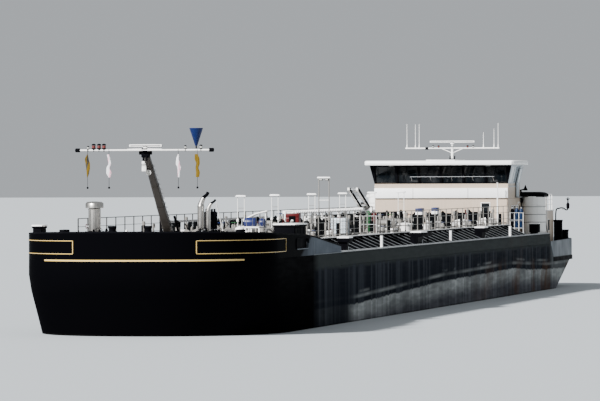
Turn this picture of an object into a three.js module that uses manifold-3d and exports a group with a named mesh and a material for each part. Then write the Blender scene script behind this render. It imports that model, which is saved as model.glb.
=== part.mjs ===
// A river tank barge with its own engines, as a scale model at 1:10: a full-bodied black hull with a raised
// fore deck inside a bulwark, a low cargo trunk with deck gear, and a wide wheelhouse aft.
// Millimetres, +X to the bow, +Y to port, +Z up. The origin is on the flat bottom, under the hull's middle.
// 100 mm here is 1 m on the ship. "Aft" distances are counted from the stem.

import * as THREE from "three";
import { mergeVertices } from "three/addons/utils/BufferGeometryUtils.js";
import Module from "manifold-3d";

const wasm = await Module();
wasm.setup();

// Driving dimensions

const LENGTH = 11000;
const HALF_BEAM = 572.5;
const AFT_DECK = 400;
const MAIN_DECK = 545;
const UPPER_DECK = 610;
const TRUNK_HALF = 430;
const TRUNK_START = 1500;
const TRUNK_END = 8800;
const HOUSE_START = 8830;
const HOUSE_HALF = 414;
const SEAT = 0.3;

// Finishes: colour, roughness, metalness

const FINISHES = {
  hullBlack: [0x0b0c0e, 0.3, 0.1],
  black: [0x101113, 0.5, 0.1],
  deckWhite: [0xd9d8d2, 0.6, 0],
  white: [0xf1efe8, 0.4, 0],
  sternGrey: [0xa4a9ae, 0.5, 0],
  knee: [0x3a3d41, 0.6, 0.2],
  rail: [0xcfccc6, 0.45, 0.3],
  steel: [0xb9b5ad, 0.25, 0.9],
  mast: [0x4a4038, 0.5, 0.2],
  pipe: [0xb7b3ab, 0.4, 0.5],
  blue: [0x1f3f9e, 0.4, 0],
  red: [0x7c1f22, 0.45, 0],
  green: [0x1f6b3c, 0.45, 0],
  paleBlue: [0xb9c9d6, 0.35, 0],
  glass: [0x0c1013, 0.08, 0],
  bronze: [0x9a6f35, 0.35, 0.9],
  flagYellow: [0xc99a22, 0.8, 0],
  flagPale: [0xe8dfe4, 0.8, 0],
};

const aft = (distance) => LENGTH / 2 - distance;
const model = new THREE.Group();

// Solids: geometry in, geometry out, with manifold-3d for the joins and cuts

function solid(geometry) {
  const bare = new THREE.BufferGeometry();
  bare.setAttribute("position", geometry.getAttribute("position"));
  if (geometry.index) bare.setIndex(geometry.index);
  const merged = mergeVertices(bare, 1e-3);
  return new wasm.Manifold(
    new wasm.Mesh({
      numProp: 3,
      vertProperties: new Float32Array(merged.attributes.position.array),
      triVerts: new Uint32Array(merged.index.array),
    }),
  );
}

const join = (solids) => solids.reduce((whole, next) => whole.add(next));
const cut = (body, tools) => tools.reduce((whole, tool) => whole.subtract(tool), body);

function geometryOf(body) {
  const mesh = body.getMesh();
  const geometry = new THREE.BufferGeometry();
  geometry.setAttribute("position", new THREE.BufferAttribute(new Float32Array(mesh.vertProperties), 3));
  geometry.setIndex(new THREE.BufferAttribute(new Uint32Array(mesh.triVerts), 1));
  geometry.computeVertexNormals();
  return geometry;
}

function addPiece(name, finish, body) {
  const [color, roughness, metalness] = FINISHES[finish];
  const material = new THREE.MeshStandardMaterial({ color, roughness, metalness });
  const mesh = new THREE.Mesh(geometryOf(body), material);
  mesh.name = name;
  model.add(mesh);
}

// A box between two corners, each [x, y, z].
function box(low, high) {
  const size = low.map((value, axis) => Math.abs(high[axis] - value));
  const middle = low.map((value, axis) => (value + high[axis]) / 2);
  return solid(new THREE.BoxGeometry(...size).translate(...middle));
}

// A round bar, or a cone frustum when the second radius differs, between two points.
function rod(from, to, radius, sides = 8, endRadius = radius) {
  const start = new THREE.Vector3(...from);
  const run = new THREE.Vector3(...to).sub(start);
  const geometry = new THREE.CylinderGeometry(endRadius, radius, run.length(), sides);
  geometry.translate(0, run.length() / 2, 0);
  geometry.applyQuaternion(
    new THREE.Quaternion().setFromUnitVectors(new THREE.Vector3(0, 1, 0), run.clone().normalize()),
  );
  return solid(geometry.translate(start.x, start.y, start.z));
}

// A bent tube along straight runs and smooth bends through the given points.
function tube(points, radius, sides = 8, steps = 14) {
  const path = new THREE.CatmullRomCurve3(points.map((point) => new THREE.Vector3(...point)));
  const section = new THREE.Shape();
  section.absarc(0, 0, radius, 0, 2 * Math.PI);
  const geometry = new THREE.ExtrudeGeometry(section, {
    steps,
    curveSegments: sides,
    bevelEnabled: false,
    extrudePath: path,
  });
  return solid(geometry);
}

// A closed skin through rings of points that all have the same count, with flat ends.
function loft(rings) {
  const count = rings[0].length;
  const index = [];
  for (let r = 0; r + 1 < rings.length; r += 1) {
    for (let i = 0; i < count; i += 1) {
      const a = r * count + i;
      const b = r * count + ((i + 1) % count);
      index.push(a, b, b + count, a, b + count, a + count);
    }
  }
  const last = (rings.length - 1) * count;
  for (const [a, b, c] of capOf(rings[0])) index.push(c, b, a);
  for (const [a, b, c] of capOf(rings[rings.length - 1])) index.push(last + a, last + b, last + c);
  const geometry = new THREE.BufferGeometry();
  geometry.setAttribute("position", new THREE.Float32BufferAttribute(rings.flat(2), 3));
  geometry.setIndex(facesInward(rings) ? index.reverse() : index);
  return solid(geometry);
}

// Whether the rings turn the wrong way for the direction in which they follow each other.
function facesInward(rings) {
  const centre = (ring) =>
    ring.reduce((sum, point) => sum.add(new THREE.Vector3(...point)), new THREE.Vector3());
  const along = centre(rings[1]).sub(centre(rings[0]));
  return along.dot(areaOf(rings[0])) < 0;
}

function areaOf(ring) {
  return ring.reduce((sum, point, i) => {
    const next = new THREE.Vector3(...ring[(i + 1) % ring.length]);
    return sum.add(new THREE.Vector3(...point).cross(next));
  }, new THREE.Vector3());
}

// Triangles that close a flat ring, seen along the axis that it faces most.
function capOf(ring) {
  const normal = areaOf(ring).toArray();
  const larger = (best, value, axis) => (Math.abs(value) > Math.abs(normal[best]) ? axis : best);
  const drop = normal.reduce(larger, 0);
  const flat = ring.map((point) => new THREE.Vector2(point[(drop + 1) % 3], point[(drop + 2) % 3]));
  const faces = THREE.ShapeUtils.triangulateShape(flat, []);
  return normal[drop] < 0 ? faces.map(([a, b, c]) => [c, b, a]) : faces;
}

const mirrored = (body) => body.mirror([0, 1, 0]);

// Hull: one flat outline for each level, lofted from the bottom up

const BOW_STEPS = 14;
const BOW_FULLNESS = 0.87;
const STERN_STEPS = 6;

const HULL_LEVELS = [
  { z: 0, stem: 450, bow: 930, half: 512, stern: 9050, corner: 470 },
  { z: 18, stem: 400, bow: 910, half: 548, stern: 9190, corner: 475 },
  { z: 60, stem: 300, bow: 870, half: HALF_BEAM, stern: 9420, corner: 480 },
  { z: 200, stem: 190, bow: 765, half: HALF_BEAM, stern: 10250, corner: 480 },
  { z: AFT_DECK, stem: 55, bow: 645, half: HALF_BEAM, stern: LENGTH, corner: 480 },
];
const DECK_LEVELS = [
  { z: AFT_DECK, stem: 55, bow: 645, half: HALF_BEAM, stern: 9690, corner: 2 },
  { z: 475, stem: 4, bow: 650, half: HALF_BEAM, stern: 9560, corner: 2 },
  { z: MAIN_DECK, stem: 0, bow: 660, half: HALF_BEAM, stern: 9540, corner: 2 },
];

// Port half of a level's outline, stem to stern, as [aft, half breadth]; "inset" moves it inwards.
function halfOutline(level, inset = 0) {
  const half = level.half - inset;
  const bow = [...Array(BOW_STEPS + 1).keys()].map((step) => {
    const angle = (step / BOW_STEPS) * (Math.PI / 2);
    const run = (level.bow - inset) * (1 - Math.abs(Math.cos(angle)) ** BOW_FULLNESS);
    return [level.stem + inset + run, half * Math.sin(angle) ** BOW_FULLNESS];
  });
  const stern = [...Array(STERN_STEPS + 1).keys()].map((step) => {
    const angle = (step / STERN_STEPS) * (Math.PI / 2);
    const along = level.stern - inset - level.corner * (1 - Math.sin(angle));
    return [along, half - level.corner * (1 - Math.cos(angle))];
  });
  return [...bow, ...stern];
}

function ringOf(level, inset = 0, z = level.z) {
  const port = halfOutline(level, inset);
  const starboard = port.slice(1).reverse().map(([along, half]) => [along, -half]);
  return [...starboard, ...port].map(([along, half]) => [aft(along), half, z]).reverse();
}

const SHAFT_Z = 92;
const SKEG = { start: 9000, end: 10120, half: 16, top: 250 };
const TUNNEL = { start: 9300, end: 10560, endZ: 104, startRadius: 50, endRadius: 125 };
const RUDDER = { along: 10420, y: 52, chord: 130, low: 14, high: 160, half: 8, stock: 7, stockTop: 214 };
const HEADBOX = { start: 10330, end: 10520, half: 75, low: 175, high: 300 };
const HOUSE_STEP = 9738;

function makeHull() {
  const lower = loft(HULL_LEVELS.map((level) => ringOf(level)));
  const upper = loft(DECK_LEVELS.map((level) => ringOf(level)));
  const { start, end, endZ, startRadius, endRadius } = TUNNEL;
  const tunnel = rod([aft(start), 0, 0], [aft(end), 0, endZ], startRadius, 20, endRadius);
  const bores = [-RUDDER.y, RUDDER.y].map((y) =>
    rod([aft(RUDDER.along), y, 100], [aft(RUDDER.along), y, RUDDER.stockTop + 4], RUDDER.stock + 0.5, 12));
  const skeg = loft([
    skegRing(SKEG.start, 2, SKEG.half),
    skegRing(SKEG.end - 260, 2, SKEG.half),
    skegRing(SKEG.end, 60, SKEG.half * 0.6),
  ]);
  const boss = rod([aft(SKEG.end - 420), 0, SHAFT_Z], [aft(SKEG.end), 0, SHAFT_Z], 22, 12, 16);
  const headbox = box(
    [aft(HEADBOX.end), -HEADBOX.half, HEADBOX.low],
    [aft(HEADBOX.start), HEADBOX.half, HEADBOX.high],
  );
  const houseBase = box(
    [aft(HOUSE_STEP - SEAT), -HOUSE_HALF, AFT_DECK - 1],
    [aft(9500), HOUSE_HALF, MAIN_DECK],
  );
  return join([cut(join([lower, upper, headbox, houseBase]), [tunnel, ...bores]), skeg, boss]);
}

function skegRing(along, low, half) {
  return [
    [aft(along), -half, low],
    [aft(along), half, low],
    [aft(along), half, SKEG.top],
    [aft(along), -half, SKEG.top],
  ];
}

addPiece("hull", "hullBlack", makeHull());

// Bulwarks: a wall along an outline; each point gives its foot, its top and how far the top leans forward

const WALL = 8;

function wallAlong(points, inward) {
  return loft(
    points.map(([along, half, low, high, lean = 0], i) => {
      const [alongIn, halfIn] = inward[i];
      return [
        [aft(along), half, low],
        [aft(along - lean), half, high],
        [aft(alongIn - lean), halfIn, high],
        [aft(alongIn), halfIn, low],
      ];
    }),
  );
}

// The bow bulwark's top line: distance aft, height
const BOW_TOP = [[0, 670], [1300, 643], [1560, 629], [2230, 578]];

function bowTop(along) {
  const next = Math.max(1, BOW_TOP.findIndex(([station]) => station >= along));
  const [[start, startHeight], [end, endHeight]] = [BOW_TOP[next - 1], BOW_TOP[next]];
  return startHeight + ((along - start) / (end - start)) * (endHeight - startHeight);
}

function bothSides(port) {
  const starboard = port.slice(1).map(([along, half]) => [along, -half]);
  return [...starboard.reverse(), ...port];
}

const FAIRLEAD = { start: 1060, end: 1370, z: 598, radius: 24 };

function makeBowBulwark() {
  const deck = DECK_LEVELS[2];
  const runs = BOW_TOP.slice(1).map(([station]) => station);
  const curve = (inset) =>
    bothSides([
      ...halfOutline(deck, inset).slice(0, BOW_STEPS + 1),
      ...runs.map((along) => [along, HALF_BEAM - inset]),
    ]);
  const outer = curve(0).map(([along, half]) => [along, half, MAIN_DECK + SEAT, bowTop(along)]);
  const wall = wallAlong(outer, curve(WALL));
  return cut(wall, [fairleadHole()]);
}

// The oval mooring hole through both sides of the bulwark.
function fairleadHole() {
  const { start, end, z, radius } = FAIRLEAD;
  const reach = HALF_BEAM + 20;
  const ends = [start + radius, end - radius].map((along) =>
    rod([aft(along), -reach, z], [aft(along), reach, z], radius, 12));
  const middle = box([aft(end - radius), -reach, z - radius], [aft(start + radius), reach, z + radius]);
  return join([...ends, middle]);
}

addPiece("bow_bulwark", "hullBlack", makeBowBulwark());

const STERN_WALL = { start: 9697, lean: 127, low: 494, high: 505 };

function makeSternBulwark() {
  const deck = HULL_LEVELS[HULL_LEVELS.length - 1];
  const { start, lean, low, high } = STERN_WALL;
  const curve = (inset) => {
    const corner = halfOutline(deck, inset).slice(BOW_STEPS + 1);
    return bothSides([[LENGTH - inset, 0], ...corner.reverse(), [start, HALF_BEAM - inset]]);
  };
  const height = (along) => low + ((along - start) / (LENGTH - start)) * (high - low);
  const outer = curve(0).map(([along, half]) =>
    [along, half, AFT_DECK + SEAT, height(along), along > start ? 0 : lean]).reverse();
  return wallAlong(outer, curve(WALL).reverse());
}

addPiece("stern_bulwark", "sternGrey", makeSternBulwark());

// Fore deck: a raised deck inside the bulwark, flush with the trunk

function makeStemFairlead() {
  const parts = [box([aft(245), -140, UPPER_DECK - 2], [aft(195), 90, UPPER_DECK + 10])];
  for (const y of [-112, 52]) {
    parts.push(rod([aft(220), y, UPPER_DECK], [aft(220), y, UPPER_DECK + 82], 16, 12));
    parts.push(rod([aft(220), y, UPPER_DECK + 70], [aft(220), y, UPPER_DECK + 82], 20, 12));
  }
  return join(parts);
}

function makeForeDeck() {
  const deck = { ...DECK_LEVELS[2], stern: TRUNK_START - SEAT, corner: 2 };
  const inset = WALL + SEAT;
  const port = halfOutline(deck, inset).slice(0, BOW_STEPS + 1);
  const ring = bothSides([...port, [TRUNK_START - SEAT, HALF_BEAM - inset]]).reverse();
  const level = (z) => ring.map(([along, half]) => [aft(along), half, z]);
  const shoulders = [-1, 1].map((side) =>
    doubleBollard(aft(550), side * 411, UPPER_DECK - 2, 22, 14, 68));
  const slotFloor = FAIRLEAD.z - FAIRLEAD.radius;
  const slots = [-1, 1].map((side) =>
    box([aft(FAIRLEAD.end), side * 532, slotFloor], [aft(FAIRLEAD.start), side * 570, UPPER_DECK + 1]));
  const deckBody = cut(loft([level(MAIN_DECK + SEAT), level(UPPER_DECK)]), slots);
  return join([deckBody, makeStemFairlead(), ...shoulders]);
}

addPiece("fore_deck", "deckWhite", makeForeDeck());

// Trunk: a low box over the cargo tanks, with round tank hatches

const HATCH = { first: 2600, step: 1000, count: 7, radius: 42, height: 46, offset: 320 };

function makeTrunk() {
  const parts = [
    box([aft(TRUNK_END), -TRUNK_HALF, MAIN_DECK + SEAT], [aft(TRUNK_START), TRUNK_HALF, UPPER_DECK]),
  ];
  for (let i = 0; i < HATCH.count; i += 1) {
    const x = aft(HATCH.first + i * HATCH.step);
    for (const y of [-HATCH.offset, HATCH.offset]) {
      parts.push(rod([x, y, UPPER_DECK - 2], [x, y, UPPER_DECK + HATCH.height], HATCH.radius, 10));
    }
  }
  return join(parts);
}

addPiece("trunk", "deckWhite", makeTrunk());

// Vent line: one low pipe on the centreline that feeds a row of tall vent stacks

const VENTS = {
  stations: [2610, 3490, 4520, 5440, 6370, 7360],
  ends: [2500, 7470],
  half: 17,
  top: 818,
  pipe: 9,
  z: 634,
};

function makeVentStack(along) {
  const x = aft(along);
  const posts = [-VENTS.half, VENTS.half].map((y) => rod([x, y, VENTS.z], [x, y, VENTS.top], 4, 8));
  const foot = box([x - 10, -22, UPPER_DECK + SEAT], [x + 10, 22, VENTS.z + 12]);
  const cap = box([x - 12, -26, VENTS.top - 4], [x + 12, 26, VENTS.top + 6]);
  return join([foot, cap, ...posts]);
}

function makeVentLine() {
  const [start, end] = VENTS.ends;
  const pipe = rod([aft(end), 0, VENTS.z], [aft(start), 0, VENTS.z], VENTS.pipe, 8);
  return join([pipe, ...VENTS.stations.map(makeVentStack)]);
}

addPiece("vent_line", "rail", makeVentLine());

// Side decks: a strip of deck with sloping knees, mooring blocks, cleat posts and white posts

const STRIP = { start: 2240, end: 9530, inner: TRUNK_HALF + SEAT, outer: HALF_BEAM, top: 549 };
const KNEE = { first: 2330, step: 180, last: 8750, thick: 7, foot: 556, top: 606 };
const PLATFORMS = [
  { start: 2475, end: 2585, low: 592, footStart: 2490, footEnd: 2530 },
  { start: 4650, end: 5015, low: 590, footStart: 4625, footEnd: 4765 },
  { start: 6880, end: 7015, low: 588, footStart: 6870, footEnd: 6990 },
  { start: 9080, end: 9150, low: 560, footStart: 9086, footEnd: 9144 },
];
const PLATFORM = { inner: 508, outer: 566, high: 620, footInner: 514, footOuter: 552, flare: 4 };
const CLEATS = { offset: 40, y: 530, radius: 9, high: 575 };
const WHITE_POSTS = [3570, 5810, 8060];
const WHITE_POST = { y: 540, radius: 7, high: 610 };

function makeKnee(along) {
  const profile = [
    [STRIP.inner, STRIP.top - 2],
    [KNEE.foot, STRIP.top - 2],
    [KNEE.foot, STRIP.top + 4],
    [STRIP.inner + 8, KNEE.top],
    [STRIP.inner, KNEE.top],
  ];
  const side = (x) => profile.map(([y, z]) => [x, y, z]);
  return loft([side(aft(along + KNEE.thick)), side(aft(along))]);
}

// A mooring block on a foot that narrows downwards, with a small cleat post behind it.
function makePlatform({ start, end, low, footStart, footEnd }) {
  const { inner, outer, high, footInner, footOuter, flare } = PLATFORM;
  const ring = (wider, z) => [
    [aft(footEnd) - wider, footInner - wider, z],
    [aft(footStart) + wider, footInner - wider, z],
    [aft(footStart) + wider, footOuter + wider, z],
    [aft(footEnd) - wider, footOuter + wider, z],
  ];
  const foot = loft([ring(0, STRIP.top - 2), ring(flare, low + 1)]);
  const block = box([aft(end), inner, low], [aft(start), outer, high]);
  const cleat = [aft(end + CLEATS.offset), CLEATS.y];
  return join([foot, block, rod([...cleat, STRIP.top - 1], [...cleat, CLEATS.high], CLEATS.radius, 8)]);
}

function doubleBollard(x, y, z, reach, radius, height) {
  const parts = [box([x - reach - 22, y - 20, z], [x + reach + 22, y + 20, z + 8])];
  for (const side of [-1, 1]) {
    const post = x + side * reach;
    parts.push(rod([post, y, z + 4], [post, y, z + height], radius, 12));
    parts.push(rod([post, y, z + height - 10], [post, y, z + height], radius + 5, 12));
  }
  return join(parts);
}

function makeSideDeck() {
  const [low, high] = [MAIN_DECK + SEAT, STRIP.top];
  const parts = [box([aft(STRIP.end), STRIP.inner, low], [aft(STRIP.start), STRIP.outer, high])];
  for (let along = KNEE.first; along <= KNEE.last; along += KNEE.step) parts.push(makeKnee(along));
  for (const platform of PLATFORMS) parts.push(makePlatform(platform));
  for (const along of WHITE_POSTS) {
    const post = [aft(along), WHITE_POST.y];
    parts.push(rod([...post, STRIP.top - 1], [...post, WHITE_POST.high], WHITE_POST.radius, 8));
  }
  return join(parts);
}

const sideDeck = makeSideDeck();
addPiece("side_deck_port", "knee", sideDeck);
addPiece("side_deck_starboard", "knee", mirrored(sideDeck));

// Rails along the trunk

const RAIL = { end: 8784, step: 396, y: 420, post: 4, bar: 3, height: 115 };
const RAIL_STARTS = { port: 2052, starboard: 864 };

function makeRail(start) {
  const parts = [];
  for (let along = start; along <= RAIL.end; along += RAIL.step) {
    const x = aft(along);
    const foot = [x - RAIL.post, RAIL.y - RAIL.post, UPPER_DECK + SEAT];
    parts.push(box(foot, [x + RAIL.post, RAIL.y + RAIL.post, UPPER_DECK + RAIL.height]));
  }
  for (const share of [0.34, 0.67, 1]) {
    const z = UPPER_DECK + RAIL.height * share - (share === 1 ? 0 : RAIL.bar);
    const low = [aft(RAIL.end - 4), RAIL.y - RAIL.bar, z - RAIL.bar];
    parts.push(box(low, [aft(start), RAIL.y + RAIL.bar, z + RAIL.bar]));
  }
  return join(parts);
}

addPiece("trunk_rail_port", "rail", makeRail(RAIL_STARTS.port));
addPiece("trunk_rail_starboard", "rail", mirrored(makeRail(RAIL_STARTS.starboard)));

// Fore deck gear

// Mooring blocks on the fore deck: distance aft and y of their near and far edges
const BOW_BLOCKS = [
  { name: "mooring_block_port", start: 1200, end: 1490, inner: 440, outer: 538, height: 87 },
  { name: "mooring_block_starboard", start: 410, end: 505, inner: -526, outer: -486, height: 91 },
];
const BLOCK_RIM = 4;

for (const { name, start, end, inner, outer, height } of BOW_BLOCKS) {
  const low = UPPER_DECK + SEAT;
  const [top, rim] = [low + height, BLOCK_RIM];
  const body = box([aft(end), inner, low], [aft(start), outer, top - 6]);
  const cap = box([aft(end) - rim, inner - rim, top - 8], [aft(start) + rim, outer + rim, top]);
  addPiece(name, "black", join([body, cap]));
}

function makeBowVent() {
  const [x, y] = [aft(800), -327];
  const profile = [
    [0, 0], [44, 0], [44, 6], [29, 6], [29, 160], [42, 164], [42, 187], [34, 193], [0, 195],
  ];
  const geometry = new THREE.LatheGeometry(profile.map(([r, z]) => new THREE.Vector2(r, z)), 20);
  geometry.rotateX(Math.PI / 2);
  return solid(geometry.translate(x, y, UPPER_DECK + SEAT));
}

addPiece("bow_vent", "steel", makeBowVent());

const EXHAUSTS = [
  { along: 900, y: 154, radius: 16, bend: 186, top: 240 },
  { along: 885, y: 192, radius: 11, bend: 164, top: 206 },
];
const SILENCER = { start: 960, end: 1050, inner: 152, outer: 204, height: 158 };
const EXHAUST_BASE = { start: 860, end: 1060, inner: 128, outer: 222, height: 8 };

function makeExhausts() {
  const z = UPPER_DECK + SEAT;
  const parts = [EXHAUST_BASE, SILENCER].map(({ start, end, inner, outer, height }) =>
    box([aft(end), inner, z], [aft(start), outer, z + height]));
  for (const { along, y, radius, bend, top } of EXHAUSTS) {
    const points = [
      [aft(along), y, z],
      [aft(along), y, z + bend * 0.5],
      [aft(along), y, z + bend],
      [aft(along), y + 14, z + bend + (top - bend) * 0.45],
      [aft(along), y + 28, z + bend + (top - bend) * 0.75],
      [aft(along), y + 36, z + top],
    ];
    parts.push(tube(points, radius, 5, 8));
  }
  return join(parts);
}

addPiece("exhausts", "steel", makeExhausts());

function makeWindlass() {
  const [x, y, z] = [aft(640), 250, UPPER_DECK + SEAT];
  const parts = [box([x - 60, y - 75, z], [x + 60, y + 75, z + 10])];
  for (const side of [-58, 0, 58]) {
    parts.push(box([x - 30, y + side - 5, z + 5], [x + 30, y + side + 5, z + 62]));
  }
  parts.push(rod([x, y - 82, z + 42], [x, y + 82, z + 42], 9, 10));
  parts.push(rod([x, y - 46, z + 42], [x, y - 14, z + 42], 30, 14));
  parts.push(rod([x, y + 14, z + 42], [x, y + 46, z + 42], 24, 14));
  parts.push(rod([x, y + 66, z + 42], [x, y + 82, z + 42], 18, 12));
  return join(parts);
}

const windlass = makeWindlass();
addPiece("windlass_port", "black", windlass);
addPiece("windlass_starboard", "black", mirrored(windlass));

// Foremast: a raked tube hinged at its foot, with a yard, a radar scanner, a cone and four flags

const MAST_FOOT = [aft(925), 0, 645];
const MAST_HEAD = [aft(420), 0, 1030];
const MAST_CAP = 10;
const YARD = { z: 1040, half: 322, radius: 5 };

function makeMastFoot() {
  const [x, , z] = MAST_FOOT;
  const deck = UPPER_DECK + SEAT;
  const parts = [box([x - 84, -52, deck], [x + 90, 52, deck + 8])];
  for (const side of [-1, 1]) {
    parts.push(box([x - 26, side * 30 - 5, deck + 4], [x + 26, side * 30 + 5, z + 24]));
  }
  parts.push(rod([x, -38, z], [x, 38, z], 7, 12));
  parts.push(rod([x - 5, -40, deck + 4], [x - 5, -40, deck + 124], 6, 8));
  parts.push(rod([x - 65, 40, deck + 7], [x + 75, 40, deck + 124], 6, 8));
  return join(parts);
}

addPiece("mast_foot", "black", makeMastFoot());

// A four-sided ring around the mast's axis, square to it.
function sparRing([x, y, z], across, deep) {
  const [ahead, up] = [MAST_HEAD[0] - MAST_FOOT[0], MAST_HEAD[2] - MAST_FOOT[2]];
  const run = Math.hypot(ahead, up);
  const [nx, nz] = [(-deep * up) / run, (deep * ahead) / run];
  return [
    [x + nx, y - across, z + nz],
    [x + nx, y + across, z + nz],
    [x - nx, y + across, z - nz],
    [x - nx, y - across, z - nz],
  ];
}

function makeForemast() {
  const [x, , z] = MAST_FOOT;
  const spar = loft([sparRing(MAST_FOOT, 20, 17), sparRing(MAST_HEAD, 13, 11)]);
  const eye = rod([x, -24, z], [x, 24, z], 20, 14);
  const bore = rod([x, -40, z], [x, 40, z], 7 + 0.4, 12);
  const [headX, , headZ] = MAST_HEAD;
  const head = box([headX - 16, -18, headZ - 24], [headX + 16, 18, headZ + MAST_CAP]);
  return cut(join([spar, eye, head]), [bore]);
}

addPiece("foremast", "mast", makeForemast());

function makeYard() {
  const x = MAST_HEAD[0] + 22 + YARD.radius;
  const parts = [rod([x, -YARD.half, YARD.z], [x, YARD.half, YARD.z], YARD.radius, 8)];
  parts.push(box([x - 10.7, -14, YARD.z - 8], [x + 3, 14, YARD.z + 8]));
  for (const side of [-1, 1]) {
    parts.push(rod([x, side * (YARD.half - 22), YARD.z], [x, side * YARD.half, YARD.z], 9, 10));
    parts.push(rod([x, side * 262, YARD.z], [x, side * 262, YARD.z + 24], 7, 8));
  }
  parts.push(rod([x, -240, YARD.z], [x, -240, YARD.z + 28], 9, 10));
  parts.push(rod([x, -212, YARD.z], [x, -212, YARD.z + 28], 9, 10));
  parts.push(rod([x, 190, YARD.z], [x, 190, YARD.z + 22], 6, 8));
  return join(parts);
}

addPiece("foremast_yard", "rail", makeYard());

function makeScanner(x, z, half, foot) {
  const gearbox = [x, 0, z];
  return join([
    box([x - 7, -half, z + 8], [x + 7, half, z + 20]),
    rod(gearbox, [x, 0, z + 10], 12, 12),
    rod([x, 0, z - foot], gearbox, 5, 8),
  ]);
}

addPiece("foremast_scanner", "white", makeScanner(MAST_HEAD[0], MAST_HEAD[2] + MAST_CAP + 6 + SEAT, 76, 6));

function makeCone() {
  const x = MAST_HEAD[0] + 22 + YARD.radius;
  const staff = YARD.z + YARD.radius + SEAT;
  return join([
    rod([x, 240, staff], [x, 240, staff + 20], 3, 6),
    rod([x, 240, staff + 14], [x, 240, staff + 94], 5, 16, 31),
  ]);
}

addPiece("signal_cone", "blue", makeCone());

const FLAGS = [
  { name: "flag_yellow_starboard", y: -265, finish: "flagYellow" },
  { name: "flag_pale_starboard", y: -165, finish: "flagPale" },
  { name: "flag_pale_port", y: 157, finish: "flagPale" },
  { name: "flag_yellow_port", y: 245, finish: "flagYellow" },
];
const FLAG = { drop: 14, length: 104, width: 26, thick: 10, weight: 165 };

for (const { name, y, finish } of FLAGS) {
  const x = MAST_HEAD[0] + 22 + YARD.radius;
  const top = YARD.z - YARD.radius - SEAT;
  const cloth = box(
    [x - FLAG.thick / 2, y - FLAG.width / 2, top - FLAG.drop - FLAG.length],
    [x + FLAG.thick / 2, y + FLAG.width / 2, top - FLAG.drop],
  );
  const line = rod([x, y, top - FLAG.weight], [x, y, top], 1.5, 6);
  const ball = rod([x, y, top - FLAG.weight - 5], [x, y, top - FLAG.weight + 5], 5, 8);
  addPiece(name, finish, join([cloth, line, ball]));
}

// Cargo gear on the trunk

const PIPES = { start: 1900, end: 8500, radius: 11, z: UPPER_DECK + 34, lanes: [-126, -84, -42, 50] };
const PIPE_FEET = { first: 1950, step: 1620, half: 6, port: [36, 64], starboard: [-140, -28] };
const MANIFOLD = { stations: [4800, 4880, 4960], reach: 372, rise: 20, radius: 13, flange: 24 };
const RISER = { y: -42, radius: 12, height: 60 };

function makeCargoPiping() {
  const parts = [];
  for (const y of PIPES.lanes) {
    parts.push(rod([aft(PIPES.end), y, PIPES.z], [aft(PIPES.start), y, PIPES.z], PIPES.radius, 8));
  }
  for (let along = PIPE_FEET.first; along < PIPES.end; along += PIPE_FEET.step) {
    const [low, high] = [aft(along) - PIPE_FEET.half, aft(along) + PIPE_FEET.half];
    for (const [near, far] of [PIPE_FEET.port, PIPE_FEET.starboard]) {
      parts.push(box([low, near, UPPER_DECK + SEAT], [high, far, PIPES.z]));
    }
  }
  return join([...parts, ...MANIFOLD.stations.map(makeManifold)]);
}

// A pipe across the trunk with a flange at each end and one valve riser.
function makeManifold(along) {
  const [x, z] = [aft(along), PIPES.z + MANIFOLD.rise];
  const flanges = [-MANIFOLD.reach, MANIFOLD.reach].map((y) =>
    rod([x, y - 6, z], [x, y + 6, z], MANIFOLD.flange, 12));
  const riser = rod([x, RISER.y, PIPES.z], [x, RISER.y, PIPES.z + RISER.height], RISER.radius, 8);
  return join([rod([x, -MANIFOLD.reach, z], [x, MANIFOLD.reach, z], MANIFOLD.radius, 8), riser, ...flanges]);
}

addPiece("cargo_piping", "pipe", makeCargoPiping());

const CATWALK = { start: 3400, end: 5420, inner: 68, outer: 118, low: 715, high: 742, step: 486 };

function makeCatwalk() {
  const { start, end, inner, outer, high } = CATWALK;
  const parts = [box([aft(end), inner, CATWALK.low], [aft(start), outer, high])];
  for (let along = CATWALK.start + 40; along < CATWALK.end; along += CATWALK.step) {
    for (const y of [CATWALK.inner + 6, CATWALK.outer - 6]) {
      parts.push(rod([aft(along), y, UPPER_DECK + SEAT], [aft(along), y, CATWALK.low + 2], 5, 8));
    }
  }
  return join(parts);
}

addPiece("catwalk", "white", makeCatwalk());

const CRANE = { along: 5500, y: 110, slewZ: 728, reach: 350, rise: 100, beam: 23.5 };

function makeCranePost() {
  const x = aft(CRANE.along);
  const low = UPPER_DECK + SEAT;
  return join([
    rod([x, CRANE.y, low], [x, CRANE.y, CRANE.slewZ], 18, 12),
    rod([x, CRANE.y, low], [x, CRANE.y, low + 10], 34, 12),
  ]);
}

addPiece("hose_crane_post", "white", makeCranePost());

function makeCraneJib() {
  const x = aft(CRANE.along);
  const z = CRANE.slewZ + SEAT;
  const parts = [rod([x, CRANE.y, z], [x, CRANE.y, z + 12], 24, 12)];
  parts.push(box([x - 12, CRANE.y - 30, z + 6], [x + 12, CRANE.y + 30, z + 24]));
  for (const side of [-1, 1]) {
    const y = CRANE.y + side * CRANE.beam;
    parts.push(rod([x, y, z + 16], [x + CRANE.reach, y, z + 16 + CRANE.rise], 6, 8));
  }
  for (const share of [0.3, 0.65, 0.98]) {
    const [jx, jz] = [x + CRANE.reach * share, z + 16 + CRANE.rise * share];
    parts.push(rod([jx, CRANE.y - CRANE.beam, jz], [jx, CRANE.y + CRANE.beam, jz], 4, 8));
  }
  return join(parts);
}

addPiece("hose_crane_jib", "rail", makeCraneJib());

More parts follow.
